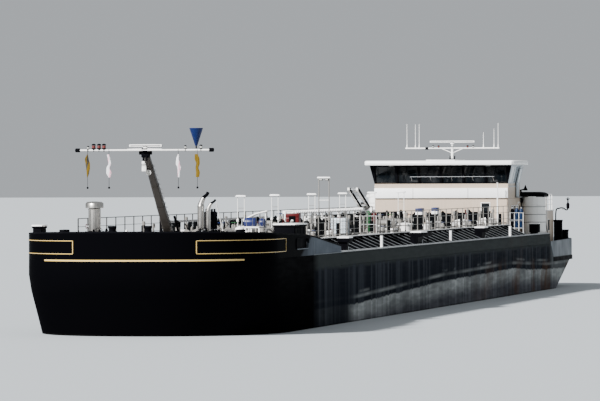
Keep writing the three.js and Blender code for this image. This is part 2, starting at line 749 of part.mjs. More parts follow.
function makeLampFrame() {
  const [x, y] = [aft(4030), 156];
  const low = UPPER_DECK + SEAT;
  const parts = [box([x - 10, y - 36, low], [x + 10, y + 36, low + 6])];
  for (const side of [-1, 1]) parts.push(rod([x, y + side * 27, low + 3], [x, y + side * 27, 908], 3.5, 8));
  parts.push(box([x - 10, y - 34, 904], [x + 10, y + 34, 912]));
  return join(parts);
}

addPiece("lamp_frame", "rail", makeLampFrame());

// Loose gear: upright drums on a rack. Drums: distance aft, y, radius, height above the rack
const DRUM_RACKS = [
  {
    name: "drums_midship",
    finish: "green",
    foot: UPPER_DECK,
    rack: 6,
    drums: [[4155, 345, 13, 126], [4145, 374, 13, 128], [4150, 400, 11, 124]],
  },
  { name: "water_tank", finish: "white", foot: UPPER_DECK, rack: 6, drums: [[1700, 176, 22, 64]] },
  {
    name: "barrels_aft",
    finish: "blue",
    foot: STRIP.top,
    rack: 44,
    drums: [[8800, 446, 12, 128], [8800, 473, 12, 130], [8800, 500, 12, 128]],
  },
];

for (const { name, finish, foot, rack, drums } of DRUM_RACKS) {
  const low = foot + SEAT;
  const edge = (pick, side) =>
    Math[side](...drums.map((drum) => pick(drum) + (side === "max" ? drum[2] : -drum[2])));
  const near = [aft(edge(([along]) => along, "max") + 3), edge(([, y]) => y, "min") - 3, low];
  const far = [aft(edge(([along]) => along, "min") - 3), edge(([, y]) => y, "max") + 3, low + rack];
  const stands = drums.map(([along, y, radius, height]) =>
    rod([aft(along), y, low + rack - 1], [aft(along), y, low + rack + height], radius, 16));
  addPiece(name, finish, join([box(near, far), ...stands]));
}

// Two round tanks that lie across a rack on the fore deck: distance aft, near y, far y, radius
const LYING_TANKS = [[1350, 268, 328, 24], [1440, 322, 354, 22]];
const TANK_RACK = { start: 1320, end: 1468, inner: 276, outer: 348, top: 72 };

function makeForwardDrums() {
  const low = UPPER_DECK + SEAT;
  const { start, end, inner, outer, top } = TANK_RACK;
  const tanks = LYING_TANKS.map(([along, near, far, radius]) =>
    rod([aft(along), near, low + top + radius - 6], [aft(along), far, low + top + radius - 6], radius, 16));
  return join([box([aft(end), inner, low], [aft(start), outer, low + top]), ...tanks]);
}

addPiece("drums_forward", "blue", makeForwardDrums());

// Lockers and the liquid tote, plain boxes on the trunk: distance aft and y of their edges, height
const BOXES = [
  { name: "hose_box_red", finish: "red", start: 2380, end: 2440, inner: 268, outer: 335, height: 126 },
  { name: "liquid_tote", finish: "paleBlue", start: 3300, end: 3400, inner: 322, outer: 404, height: 98 },
  { name: "locker_midship", finish: "white", start: 6440, end: 6520, inner: 236, outer: 276, height: 120 },
  { name: "locker_aft", finish: "white", start: 6980, end: 7060, inner: 240, outer: 276, height: 120 },
];

for (const { name, finish, start, end, inner, outer, height } of BOXES) {
  addPiece(name, finish, box([aft(end), inner, UPPER_DECK + SEAT], [aft(start), outer, UPPER_DECK + height]));
}

// Deckhouse and side casings

const HOUSE = { aftEnd: 10450, aftHalf: 468, top: 772, aftTop: 690 };

function makeDeckhouse() {
  const { aftEnd, aftHalf, top, aftTop } = HOUSE;
  const low = MAIN_DECK + SEAT;
  const front = box([aft(HOUSE_STEP + 2), -HOUSE_HALF, low], [aft(HOUSE_START), HOUSE_HALF, top]);
  const rear = box([aft(aftEnd), -aftHalf, AFT_DECK + SEAT], [aft(HOUSE_STEP), aftHalf, aftTop]);
  return join([front, rear]);
}

addPiece("deckhouse", "white", makeDeckhouse());

const CASING = { start: 9336, end: 9520, inner: 422, outer: 550, top: 780 };
const CANOPY = { start: 9334, end: 9600, inner: 366, outer: 560, low: 777, high: 797 };
const CROWN = { z: 808, inset: 14 };

function makeCasing() {
  const round = (CASING.outer - CASING.inner) / 2;
  const plan = new THREE.Shape();
  plan.moveTo(aft(CASING.end), CASING.inner);
  plan.lineTo(aft(CASING.start + round), CASING.inner);
  plan.absarc(aft(CASING.start + round), CASING.inner + round, round, -Math.PI / 2, Math.PI / 2);
  plan.lineTo(aft(CASING.end), CASING.outer);
  const low = STRIP.top + SEAT;
  const geometry = new THREE.ExtrudeGeometry(plan, {
    depth: CASING.top - low,
    bevelEnabled: false,
    curveSegments: 10,
  });
  const lid = (inset, z) => [
    [aft(CANOPY.end - inset), CANOPY.inner + inset, z],
    [aft(CANOPY.start + inset), CANOPY.inner + inset, z],
    [aft(CANOPY.start + inset), CANOPY.outer - inset, z],
    [aft(CANOPY.end - inset), CANOPY.outer - inset, z],
  ];
  const canopy = loft([lid(0, CANOPY.low), lid(0, CANOPY.high), lid(CROWN.inset, CROWN.z)]);
  return join([solid(geometry.translate(0, 0, low)), canopy]);
}

const casing = makeCasing();
addPiece("side_casing_port", "white", casing);
addPiece("side_casing_starboard", "white", mirrored(casing));

// Wheelhouse: hollow, with a raked window band, a roof, glass, doors, a console and a chair

const WHEELHOUSE = {
  front: HOUSE_START,
  rear: 9330,
  floor: HOUSE.top + SEAT,
  sill: 862,
  head: 975,
  wall: 10,
  flare: 26,
};
const ROOF = { start: 8745, end: 9370, half: 462, low: 975 + SEAT, high: 1004 };

function houseRing(z, flare, inset = 0) {
  const front = WHEELHOUSE.front - flare + inset;
  const rear = WHEELHOUSE.rear - inset;
  const half = HOUSE_HALF + flare - inset;
  return [
    [aft(rear), -half, z],
    [aft(front), -half, z],
    [aft(front), half, z],
    [aft(rear), half, z],
  ];
}

const WINDOW = { low: 868, high: 966, posts: [-414, -276, -138, 0, 138, 276, 414], post: 7 };

const SIDE_WINDOWS = [[8870, 8985], [9000, 9108]];
const DOOR = { start: 9130, end: 9222, low: 780, high: 962, thick: 8 };
const TRACK = { start: 9124, end: 9326, low: 774, high: 779.7, reach: 18 };
const BAND = { proud: 13, low: 774, high: 835 };

// How far the windows' raked wall stands out at a height.
function flareAt(z) {
  const { sill, head, flare } = WHEELHOUSE;
  return flare * Math.max(0, (z - sill) / (head - sill));
}

// The cabin's outline as a solid block from one height to another, set in from its outer face.
function houseBlock(low, high, inset) {
  const levels = [low, ...(low < WHEELHOUSE.sill && WHEELHOUSE.sill < high ? [WHEELHOUSE.sill] : []), high];
  return loft(levels.map((z) => houseRing(z, flareAt(z), inset)));
}

function makeWheelhouse() {
  const { floor, head, wall, rear } = WHEELHOUSE;
  const outer = houseBlock(floor, head, 0);
  const inner = houseBlock(floor + 12, head + 1, wall);
  const openings = [box([aft(rear + 20), -300, WINDOW.low], [aft(rear - 20), 300, WINDOW.high])];
  for (let i = 0; i + 1 < WINDOW.posts.length; i += 1) {
    const low = [aft(WHEELHOUSE.front + 30), WINDOW.posts[i] + WINDOW.post, WINDOW.low];
    const high = [aft(WHEELHOUSE.front - 60), WINDOW.posts[i + 1] - WINDOW.post, WINDOW.high];
    openings.push(box(low, high));
  }
  const across = HOUSE_HALF + 60;
  for (const [start, end] of SIDE_WINDOWS) {
    openings.push(box([aft(end), -across, WINDOW.low], [aft(start), across, WINDOW.high]));
  }
  const doorway = { start: DOOR.start + 6, end: DOOR.end - 6, low: DOOR.low + 8, high: DOOR.high - 8 };
  openings.push(box([aft(doorway.end), -across, doorway.low], [aft(doorway.start), across, doorway.high]));
  const tracks = [-1, 1].map((side) => {
    const [near, far] = [side * (HOUSE_HALF - 2), side * (HOUSE_HALF + TRACK.reach)];
    return box([aft(TRACK.end), near, TRACK.low], [aft(TRACK.start), far, TRACK.high]);
  });
  const bandFront = aft(WHEELHOUSE.front - BAND.proud);
  const band = box([aft(WHEELHOUSE.front + 2), -HOUSE_HALF, BAND.low], [bandFront, HOUSE_HALF, BAND.high]);
  return join([cut(outer, [inner, ...openings]), band, ...tracks]);
}

addPiece("wheelhouse", "white", makeWheelhouse());

const GLASS = { thick: 3, low: WINDOW.low - 4, high: WINDOW.high + 4 };

function makeGlass(keep) {
  const inset = WHEELHOUSE.wall + SEAT;
  const band = cut(houseBlock(GLASS.low, GLASS.high, inset), [
    houseBlock(GLASS.low - 1, GLASS.high + 1, inset + GLASS.thick),
  ]);
  return band.intersect(keep);
}

addPiece("wheelhouse_glass_front", "glass", makeGlass(box([aft(9112), -500, 800], [aft(8700), 500, 1000])));
addPiece("wheelhouse_glass_rear", "glass", makeGlass(box([aft(9400), -310, 800], [aft(9300), 310, 1000])));

// A sliding door outside the wall: it follows the wall's bend at the sill.
function makeSlidingDoor() {
  const ring = (z) => {
    const y = HOUSE_HALF + 5 + flareAt(z);
    return [
      [aft(DOOR.end), y, z],
      [aft(DOOR.start), y, z],
      [aft(DOOR.start), y + DOOR.thick, z],
      [aft(DOOR.end), y + DOOR.thick, z],
    ];
  };
  return loft([DOOR.low, WHEELHOUSE.sill, DOOR.high].map(ring));
}

addPiece("wheelhouse_door_port", "white", makeSlidingDoor());
addPiece("wheelhouse_door_starboard", "white", mirrored(makeSlidingDoor()));

function makeHelm() {
  const floor = WHEELHOUSE.floor + 12 + SEAT;
  const [front, x] = [aft(8900), aft(9010)];
  return join([
    box([front - 40, -150, floor], [front, 150, floor + 82]),
    box([x - 60, -60, floor], [front - 30, 60, floor + 6]),
    rod([x, 0, floor], [x, 0, floor + 40], 8, 10),
    box([x - 24, -22, floor + 38], [x + 24, 22, floor + 50]),
    box([x - 28, -22, floor + 38], [x - 18, 22, floor + 112]),
  ]);
}

addPiece("helm_and_chair", "black", makeHelm());

function makeRoof() {
  const slab = box([aft(ROOF.end), -ROOF.half, ROOF.low], [aft(ROOF.start), ROOF.half, ROOF.high]);
  const crown = box([aft(ROOF.end - 150), -90, ROOF.high - 2], [aft(ROOF.start + 60), 90, ROOF.high + 6]);
  return join([slab, crown]);
}

addPiece("wheelhouse_roof", "white", makeRoof());

// A signal mast on the wheelhouse roof, with a yard of aerials and a turning scanner

const ROOF_MAST = { along: 9270, hinge: 1026, z: 1082, half: 295 };
const WHIPS = [[-285, 150], [-232, 148], [-208, 150], [196, 98], [262, 120], [288, 155]];

function makeRoofMastFoot() {
  const [x, low] = [aft(ROOF_MAST.along), ROOF.high + SEAT];
  const cheeks = [-1, 1].map((side) =>
    box([x - 9, side * 14 - 3, low], [x + 9, side * 14 + 3, ROOF_MAST.hinge + 9]));
  const pin = rod([x, -17, ROOF_MAST.hinge], [x, 17, ROOF_MAST.hinge], 3, 10);
  return join([box([x - 22, -24, low], [x + 22, 24, low + 5]), pin, ...cheeks]);
}

addPiece("roof_mast_foot", "black", makeRoofMastFoot());

function makeRoofMast() {
  const x = aft(ROOF_MAST.along);
  const parts = [
    rod([x, 0, ROOF_MAST.hinge - 8], [x, 0, ROOF_MAST.z + 12], 8, 10),
    rod([x, -ROOF_MAST.half, ROOF_MAST.z], [x, ROOF_MAST.half, ROOF_MAST.z], 4, 8),
  ];
  for (const [y, height] of WHIPS) {
    parts.push(rod([x, y, ROOF_MAST.z], [x, y, ROOF_MAST.z + height], 2.5, 6));
  }
  return cut(join(parts), [rod([x, -20, ROOF_MAST.hinge], [x, 20, ROOF_MAST.hinge], 3.4, 10)]);
}

addPiece("roof_mast", "rail", makeRoofMast());
addPiece("roof_scanner", "white", makeScanner(aft(ROOF_MAST.along), ROOF_MAST.z + 12 + 14 + SEAT, 140, 14));

// Propeller and rudders under the stern

const PROPELLER = { along: 10205, radius: 74, blades: 4 };

function makePropeller() {
  const x = aft(PROPELLER.along);
  const hub = rod([aft(SKEG.end + SEAT), 0, SHAFT_Z], [aft(PROPELLER.along + 60), 0, SHAFT_Z], 16, 16, 9);
  const parts = [hub];
  for (let i = 0; i < PROPELLER.blades; i += 1) {
    const blade = new THREE.BoxGeometry(5, 46, PROPELLER.radius - 10);
    blade.rotateZ(Math.PI / 4);
    blade.translate(0, 0, 8 + (PROPELLER.radius - 10) / 2);
    blade.rotateX((i * 2 * Math.PI) / PROPELLER.blades);
    parts.push(solid(blade.translate(x, 0, SHAFT_Z)));
  }
  return join(parts);
}

addPiece("propeller", "bronze", makePropeller());

function makeRudder(side) {
  const y = side * RUDDER.y;
  const [nose, tail] = [RUDDER.along - RUDDER.chord * 0.33, RUDDER.along + RUDDER.chord * 0.67];
  const ring = (z) => [
    [aft(tail), y, z],
    [aft(RUDDER.along), y - RUDDER.half, z],
    [aft(nose + 8), y - RUDDER.half, z],
    [aft(nose), y, z],
    [aft(nose + 8), y + RUDDER.half, z],
    [aft(RUDDER.along), y + RUDDER.half, z],
  ];
  const pivot = [aft(RUDDER.along), y];
  const stock = rod([...pivot, RUDDER.high - 4], [...pivot, RUDDER.stockTop], RUDDER.stock, 12);
  return join([loft([ring(RUDDER.low), ring(RUDDER.high)].map((r) => r.reverse())), stock]);
}

addPiece("rudder_port", "hullBlack", makeRudder(1));
addPiece("rudder_starboard", "hullBlack", makeRudder(-1));

// Aft deck gear

// Stern mooring blocks on one plate: distance aft of their edges, y of their edges, height
const STERN_PLATE = [10455, 10648, 463, 538, 5];
const STERN_BLOCKS = [[10458, 10514, 466, 520, 224], [10562, 10645, 472, 541, 160]];

function makeSternGear() {
  const z = AFT_DECK + SEAT;
  return join([STERN_PLATE, ...STERN_BLOCKS].map(([start, end, inner, outer, height]) =>
    box([aft(end), inner, z], [aft(start), outer, z + height])));
}

addPiece("stern_gear_port", "black", makeSternGear());
addPiece("stern_gear_starboard", "black", mirrored(makeSternGear()));

// A post on the aft deck whose top bends outboard and up again; the arm's points are [outboard, up]
const DAVIT = {
  along: 10425,
  y: 486,
  arm: [[0, 0], [0, 150], [2, 280], [22, 298], [48, 300], [68, 288], [79, 300], [79, 368]],
};

function makeDavit() {
  const [x, z] = [aft(DAVIT.along), AFT_DECK + SEAT];
  const points = DAVIT.arm.map(([out, up]) => [x, DAVIT.y + out, z + up]);
  const foot = rod([x, DAVIT.y, z], [x, DAVIT.y, z + 8], 12, 10);
  return join([tube(points, 4, 4, 22), foot]);
}

addPiece("stern_davit", "black", makeDavit());

export default model;
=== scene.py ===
"""River tank barge at 1:10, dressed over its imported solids.

Sizes in the classes are millimetres of the model, given as distance aft of the stem, distance to port and height
above the flat bottom. 100 mm here is 1 m on the ship.
"""

import logging
import math
from collections.abc import Callable, Iterable, Sequence
from dataclasses import dataclass, field
from enum import Enum

import bmesh
import bpy
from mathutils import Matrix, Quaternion, Vector


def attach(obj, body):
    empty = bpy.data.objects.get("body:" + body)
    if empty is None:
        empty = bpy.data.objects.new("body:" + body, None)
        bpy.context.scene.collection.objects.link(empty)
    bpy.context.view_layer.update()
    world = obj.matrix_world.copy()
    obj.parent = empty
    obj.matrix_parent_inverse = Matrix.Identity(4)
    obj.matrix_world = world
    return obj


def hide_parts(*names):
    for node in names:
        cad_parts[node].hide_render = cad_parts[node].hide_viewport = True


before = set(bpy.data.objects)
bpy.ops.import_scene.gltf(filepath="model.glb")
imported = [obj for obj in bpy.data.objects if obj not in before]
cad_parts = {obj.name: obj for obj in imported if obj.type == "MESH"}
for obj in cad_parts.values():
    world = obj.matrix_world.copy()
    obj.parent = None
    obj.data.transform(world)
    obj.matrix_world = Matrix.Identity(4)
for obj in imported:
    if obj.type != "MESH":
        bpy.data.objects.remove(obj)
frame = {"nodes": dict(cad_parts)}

LOG = logging.getLogger("barge")
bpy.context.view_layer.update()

Pair = tuple[float, float]
Spot = tuple[float, float, float]
Color = tuple[float, float, float]
Socket = bpy.types.NodeSocket

BOW_TIP = 5.5
SHARP = math.radians(40)


def at(aft: float, port: float, up: float) -> Vector:
    """Turn a place given aft of the stem, to port and up, in millimetres, into metres of the shared frame."""
    return Vector((BOW_TIP - aft / 1000, port / 1000, up / 1000))


def mix_numbers(start: float, end: float, share: float) -> float:
    """Go a share of the way from one number to another."""
    return start + (end - start) * share


def spread(start: float, end: float, count: int) -> list[float]:
    """Spread numbers evenly from a start to an end, both included."""
    return [mix_numbers(start, end, k / (count - 1)) for k in range(count)]


def smooth_line(points: Sequence[Spot], steps: int = 6) -> list[Spot]:
    """Round a line of points off into a Catmull-Rom curve through all of them.

    Args:
        points: The places that the line passes, two or more.
        steps: Pieces between two neighbouring places.

    Returns:
        The finer line, ends included.
    """
    known = [Vector(point) for point in points]
    padded = [known[0] * 2 - known[1], *known, known[-1] * 2 - known[-2]]
    line = []
    for i in range(1, len(padded) - 2):
        a, b, c, d = padded[i - 1 : i + 3]
        for step in range(steps):
            t = step / steps
            square, cube = 2 * a - 5 * b + 4 * c - d, 3 * b - a - 3 * c + d
            line.append(0.5 * (2 * b + (c - a) * t + square * t**2 + cube * t**3))
    return [tuple(point) for point in [*line, known[-1]]]


# Finishes


class Graph:
    """A material's nodes, with short ways to add and join them."""

    def __init__(self, name: str) -> None:
        """Start a material with its shader and the surface's own coordinates."""
        self.material = bpy.data.materials.new(name)
        self.material.use_nodes = True
        self.tree = self.material.node_tree
        self.shader = self.tree.nodes["Principled BSDF"]
        self.place = self.node("ShaderNodeTexCoord").outputs["Object"]

    def node(self, kind: str, **settings: object) -> bpy.types.Node:
        """Add a node of a kind and set its properties."""
        made = self.tree.nodes.new(kind)
        for key, value in settings.items():
            setattr(made, key, value)
        return made

    def feed(self, socket: Socket, source: object) -> None:
        """Join a socket to another one, or set its value."""
        if isinstance(source, bpy.types.NodeSocket):
            self.tree.links.new(source, socket)
        else:
            socket.default_value = source

    def set(self, **values: object) -> None:
        """Set or join the shader's sockets by name, with _ for a space."""
        for key, value in values.items():
            self.feed(self.shader.inputs[key.replace("_", " ")], value)

    def noise(self, scale: float, detail: float = 3.0, stretch: Spot = (1, 1, 1)) -> Socket:
        """Add cloudy noise over the surface.

        Args:
            scale: Patches per metre.
            detail: Levels of finer noise.
            stretch: Scale on each axis; a small number draws the patches out along it.

        Returns:
            The noise, from 0 to 1.
        """
        mapping = self.node("ShaderNodeMapping")
        self.feed(mapping.inputs["Vector"], self.place)
        mapping.inputs["Scale"].default_value = stretch
        noise = self.node("ShaderNodeTexNoise")
        self.feed(noise.inputs["Vector"], mapping.outputs["Vector"])
        noise.inputs["Scale"].default_value = scale
        noise.inputs["Detail"].default_value = detail
        return noise.outputs["Fac"]

    def waves(self, scale: float, axis: str) -> Socket:
        """Add even waves across one axis, "X", "Y" or "Z"."""
        wave = self.node("ShaderNodeTexWave", wave_type="BANDS", bands_direction=axis)
        self.feed(wave.inputs["Vector"], self.place)
        wave.inputs["Scale"].default_value = scale
        return wave.outputs["Fac"]

    def axis(self, name: str) -> Socket:
        """Give the surface's own coordinate on one axis, in metres."""
        split = self.node("ShaderNodeSeparateXYZ")
        self.feed(split.inputs["Vector"], self.place)
        return split.outputs[name]

    def sum(self, first: Socket, second: Socket | float, share: float = 1.0) -> Socket:
        """Add a share of the second value to the first."""
        node = self.node("ShaderNodeMath", operation="MULTIPLY_ADD")
        self.feed(node.inputs[0], second)
        node.inputs[1].default_value = share
        self.feed(node.inputs[2], first)
        return node.outputs["Value"]

    def times(self, first: Socket, second: Socket | float) -> Socket:
        """Multiply two values."""
        node = self.node("ShaderNodeMath", operation="MULTIPLY")
        self.feed(node.inputs[0], first)
        self.feed(node.inputs[1], second)
        return node.outputs["Value"]

    def between(self, value: Socket, low: float, high: float, start: float = 0.0, end: float = 1.0) -> Socket:
        """Map a value's range onto another one, held at its ends."""
        node = self.node("ShaderNodeMapRange", clamp=True)
        self.feed(node.inputs["Value"], value)
        for key, number in {"From Min": low, "From Max": high, "To Min": start, "To Max": end}.items():
            node.inputs[key].default_value = number
        return node.outputs["Result"]

    def blend(self, share: Socket, first: Color | Socket, second: Color | Socket) -> Socket:
        """Mix two colours by a share."""
        node = self.node("ShaderNodeMix", data_type="RGBA")
        self.feed(node.inputs[0], share)
        for socket, color in ((node.inputs[6], first), (node.inputs[7], second)):
            self.feed(socket, (*color, 1) if isinstance(color, tuple) else color)
        return node.outputs[2]

    def bump(self, height: Socket, strength: float, distance: float) -> None:
        """Press a height into the surface's normal."""
        node = self.node("ShaderNodeBump")
        node.inputs["Strength"].default_value = strength
        node.inputs["Distance"].default_value = distance
        self.feed(node.inputs["Height"], height)
        self.set(Normal=node.outputs["Normal"])


@dataclass(frozen=True)
class Finish:
    """How a surface is painted or made. Each kind of finish builds its own nodes."""

    name: str

    def dress(self, graph: Graph) -> None:
        """Build the nodes of this finish."""
        raise NotImplementedError

    def material(self) -> bpy.types.Material:
        """Make the material once and hand the same one out again."""
        known = bpy.data.materials.get(self.name)
        if known:
            return known
        graph = Graph(self.name)
        self.dress(graph)
        return graph.material


@dataclass(frozen=True)
class Paint(Finish):
    """Sprayed or rolled paint that has faded in patches, with dirt that has run down upright faces."""

    color: Color
    worn: Color
    roughness: float = 0.4
    wear: float = 0.3
    runs: float = 0.25
    gloss: float = 0.4
    grit: float = 0.0

    def dress(self, graph: Graph) -> None:
        """Build the patches, the run marks and the roller's grain."""
        patches = graph.noise(9, 5)
        faded = graph.between(patches, 0.6 - 0.2 * self.wear, 0.8 - 0.2 * self.wear, 0, self.wear)
        runs = graph.between(graph.noise(60, 3, (1, 1, 0.08)), 0.52, 0.75, 0, self.runs)
        once = graph.blend(faded, self.color, self.worn)
        graph.set(Base_Color=graph.blend(runs, once, tuple(0.6 * part for part in self.worn)))
        graph.set(Roughness=graph.between(patches, 0.3, 0.7, self.roughness - 0.06, self.roughness + 0.14))
        graph.set(Specular_IOR_Level=self.gloss)
        if self.grit:
            graph.bump(graph.noise(900, 2), self.grit, 0.0008)
        else:
            graph.bump(graph.noise(160, 3), 0.12, 0.0006)


class Side(Enum):
    """Which part of the shell a paint is for."""

    BOW = "bow"
    LENGTH = "length"


@dataclass(frozen=True)
class ShellPaint(Finish):
    """Black shell plating: plain black at the bow, a grey-green top strake, streaks below it and pale scuffs lowest.
    Aft of the bow the sides are blue-grey and streaked as painted sky reflection, partly with dirt runs, and the bow
    wall's after part has patches of painted sky reflection; the paint's own gloss is nearly off.
    """

    side: Side = Side.LENGTH
    strake: Color = (0.037, 0.042, 0.042)
    # The sides' blue-grey tones, middle and streak: painted sky reflection on the flat plating, the streaks partly dirt
    # runs.
    middle: Color = (0.01, 0.012, 0.017)
    streak: Color = (0.052, 0.058, 0.068)
    scuffed: Color = (0.5, 0.52, 0.51)
    smeared: Color = (0.3, 0.3, 0.33)
    bow: Color = (0.0015, 0.0015, 0.002)
    # Blue-grey of the bow wall's after part: a painted sky reflection on the black plating.
    painted_sky_reflection: Color = (0.148, 0.17, 0.2)
    slime: Color = (0.01, 0.009, 0.008)
    rust: Color = (0.1, 0.05, 0.025)

    def dress(self, graph: Graph) -> None:
        """Build the bands by height, the fender marks and a broad waviness of the plates."""
        up, ahead = graph.axis("Z"), graph.axis("X")
        if self.side is Side.BOW:
            patches = graph.between(graph.noise(7, 4), 0.3, 0.75, 0.55, 1)
            curve = graph.sum(ahead, graph.between(up, 0.54, 0.64, 0, 1), 0.3)
            # Painted sky reflection: the bow wall turns patchy blue-grey towards its after end, in place of the paint's
            # own gloss.
            painted_sky_reflection = graph.times(graph.between(curve, 4.37, 4.3), graph.between(ahead, 4.3, 3.99, 0.35, 1))
            painted_sky_reflection = graph.times(painted_sky_reflection, patches)
            graph.set(Base_Color=graph.blend(painted_sky_reflection, self.bow, self.painted_sky_reflection), Roughness=0.22)
            graph.set(Specular_IOR_Level=0.0002)
            graph.bump(graph.noise(4.5, 3), 0.12, 0.01)
            return
        marks = graph.between(graph.noise(15, 6, (1, 1, 0.04)), 0.45, 0.62)
        scuffs = graph.between(graph.noise(24, 6, (0.25, 1, 2.2)), 0.4, 0.7)
        blots = graph.between(graph.noise(1.7, 5, (1, 1, 4)), 0.38, 0.62, 0.5, 1)
        rise = graph.sum(graph.between(ahead, 2.8, 0.2, 0.285, 0.337), graph.between(ahead, 0.2, -2.5, 0, 0.02))
        rise = graph.sum(rise, graph.between(ahead, -2.4, -3.9, 0, 0.034), -1)
        above = graph.sum(up, rise, -1)
        edge = graph.sum(graph.sum(above, graph.noise(2.2, 4, (1, 1, 0.3)), 0.012), marks, 0.005)
        band = graph.times(graph.between(edge, 0.014, 0.006), graph.between(above, -0.1, -0.03, 0.55, 1))
        band = graph.times(band, graph.times(blots, graph.between(marks, 0, 1, 0.62, 0.85)))
        rub = graph.times(graph.between(above, 0.025, 0.036), graph.between(above, 0.052, 0.038))
        rub = graph.times(rub, graph.between(graph.noise(1.9, 4, (1, 1, 2)), 0.42, 0.6, 0.06, 0.4))
        smear = graph.times(graph.between(above, 0.07, 0.062), graph.between(above, 0.05, 0.057))
        smear = graph.times(smear, graph.between(graph.noise(2.6, 4, (1, 1, 2)), 0.5, 0.62, 0, 0.24))
        low = graph.sum(graph.sum(band, rub), smear)
        low = graph.times(low, graph.between(ahead, 3.12, 2.85, 0.06, 1))
        low = graph.times(low, graph.between(scuffs, 0, 1, 0.95, 1.4))
        low = graph.sum(low, graph.between(ahead, -4.0, -4.15, 0, 0.2))
        tone = graph.blend(graph.between(above, -0.05, -0.1), self.scuffed, self.smeared)
        # Painted sky reflection: the sides' blue-grey with paler streaks stands for the sky reflected in the flat
        # plating, partly with dirt runs.
        bare = graph.blend(graph.between(marks, 0, 1, 0, 0.55), self.middle, self.streak)
        sides = graph.blend(graph.times(low, 0.8), bare, tone)
        sides = graph.blend(graph.between(graph.sum(up, marks, -0.012), 0.462, 0.482), sides, self.strake)
        rusty = graph.times(graph.between(graph.noise(3.2, 5), 0.5, 0.68, 0, 0.75), graph.between(ahead, -0.5, -2.5))
        rusty = graph.times(rusty, graph.between(above, 0.08, 0.03, 0.1, 1))
        sides = graph.blend(rusty, sides, self.rust)
        # Ahead of this the shell is plain black; aft of it the sides carry their painted sky reflection.
        color = graph.blend(graph.between(ahead, 3.86, 4.02), sides, self.bow)
        wet = graph.between(graph.sum(up, graph.noise(8, 3), 0.012), 0.214, 0.204)
        graph.set(Base_Color=graph.blend(wet, color, self.slime))
        graph.set(Roughness=graph.sum(graph.between(up, 0.33, 0.49, 0.5, 0.3), scuffs, 0.12))
        graph.set(Specular_IOR_Level=0.0002)
        graph.bump(graph.noise(4.5, 3, (1, 1, 0.6)), 0.14, 0.012)


@dataclass(frozen=True)
class Metal(Finish):
    """Bare metal: brushed, cast or galvanised."""

    color: Color
    roughness: float
    brush: Spot = (1, 1, 1)

    def dress(self, graph: Graph) -> None:
        """Build the brush lines and the handling stains."""
        lines = graph.noise(220, 3, self.brush)
        stains = graph.between(graph.noise(14, 4), 0.45, 0.75, 0, 0.6)
        graph.set(Base_Color=graph.blend(stains, self.color, tuple(0.62 * part for part in self.color)))
        graph.set(Metallic=1.0, Roughness=graph.between(lines, 0.3, 0.7, self.roughness - 0.08, self.roughness + 0.12))
        graph.bump(lines, 0.1, 0.0004)


@dataclass(frozen=True)
class Moulded(Finish):
    """Moulded plastic with a fine grain, a little milky where the sun has reached it."""

    color: Color
    bleached: Color
    ribs: float = 0.0
    roughness: float = 0.42

    def dress(self, graph: Graph) -> None:
        """Build the bleaching, the grain and the moulded ribs."""
        clouds = graph.between(graph.noise(26, 4), 0.4, 0.8, 0, 0.5)
        graph.set(Base_Color=graph.blend(clouds, self.color, self.bleached), Roughness=self.roughness)
        grain = graph.noise(700, 2)
        if self.ribs:
            grain = graph.sum(graph.waves(self.ribs, "Z"), grain, 0.05)
        graph.bump(grain, 0.3 if self.ribs else 0.12, 0.0015 if self.ribs else 0.0005)


@dataclass(frozen=True)
class Bunting(Finish):
    """Thin woven flag cloth."""

    color: Color
    faded: Color

    def dress(self, graph: Graph) -> None:
        """Build the weave and the sun-faded patches."""
        warp, weft = graph.waves(900, "X"), graph.waves(900, "Z")
        weave = graph.sum(warp, weft)
        patches = graph.between(graph.noise(40, 3), 0.35, 0.75, 0, 0.6)
        graph.set(Base_Color=graph.blend(patches, self.color, self.faded), Roughness=0.85)
        graph.set(Sheen_Weight=0.1, Sheen_Roughness=0.5, Specular_IOR_Level=0.15)
        graph.bump(weave, 0.35, 0.0004)


@dataclass(frozen=True)
class Pane(Finish):
    """Dark tinted glass with a faint film of dust."""

    tint: Color
    clear: float = 0.35

    def dress(self, graph: Graph) -> None:
        """Build the tint and the dust."""
        dust = graph.noise(12, 4, (1, 1, 0.4))
        graph.set(Base_Color=graph.blend(graph.between(dust, 0.5, 0.9, 0, 0.12), self.tint, (0.3, 0.31, 0.32)))
        graph.set(Roughness=graph.between(dust, 0.4, 0.8, 0.03, 0.16), Transmission_Weight=self.clear, IOR=1.45)
        graph.bump(graph.noise(3, 2), 0.05, 0.002)


SHELL = ShellPaint("shell plating paint")
BOW_SHELL = ShellPaint("bow bulwark paint", Side.BOW)
BLACK = Paint("black gear paint", (0.003, 0.003, 0.004), (0.01, 0.01, 0.011), 0.45, 0.3, 0.2, 0.003)
RIM = Paint("chalky rim paint", (0.86, 0.85, 0.82), (0.6, 0.58, 0.55), 0.5, 0.3, 0.2)
# A dark deck paint, made darker still as painted shade for the shaded deck between the trunk's gear.
DECK = Paint("dark deck paint", (0.05, 0.047, 0.043), (0.03, 0.027, 0.024), 0.62, 0.45, 0.1, 0.2, grit=0.35)
SIDE_DECK = Paint("side deck paint", (0.38, 0.39, 0.4), (0.24, 0.24, 0.24), 0.6, 0.5, 0.1, 0.1, grit=0.35)
FORE_PAINT = Paint("fore deck paint", (0.6, 0.57, 0.55), (0.3, 0.27, 0.25), 0.6, 0.4, 0.1, 0.3, grit=0.35)
KNEE_DARK = Paint("knee web paint", (0.003, 0.0035, 0.004), (0.009, 0.009, 0.009), 0.55, 0.4, 0.2, 0.001)
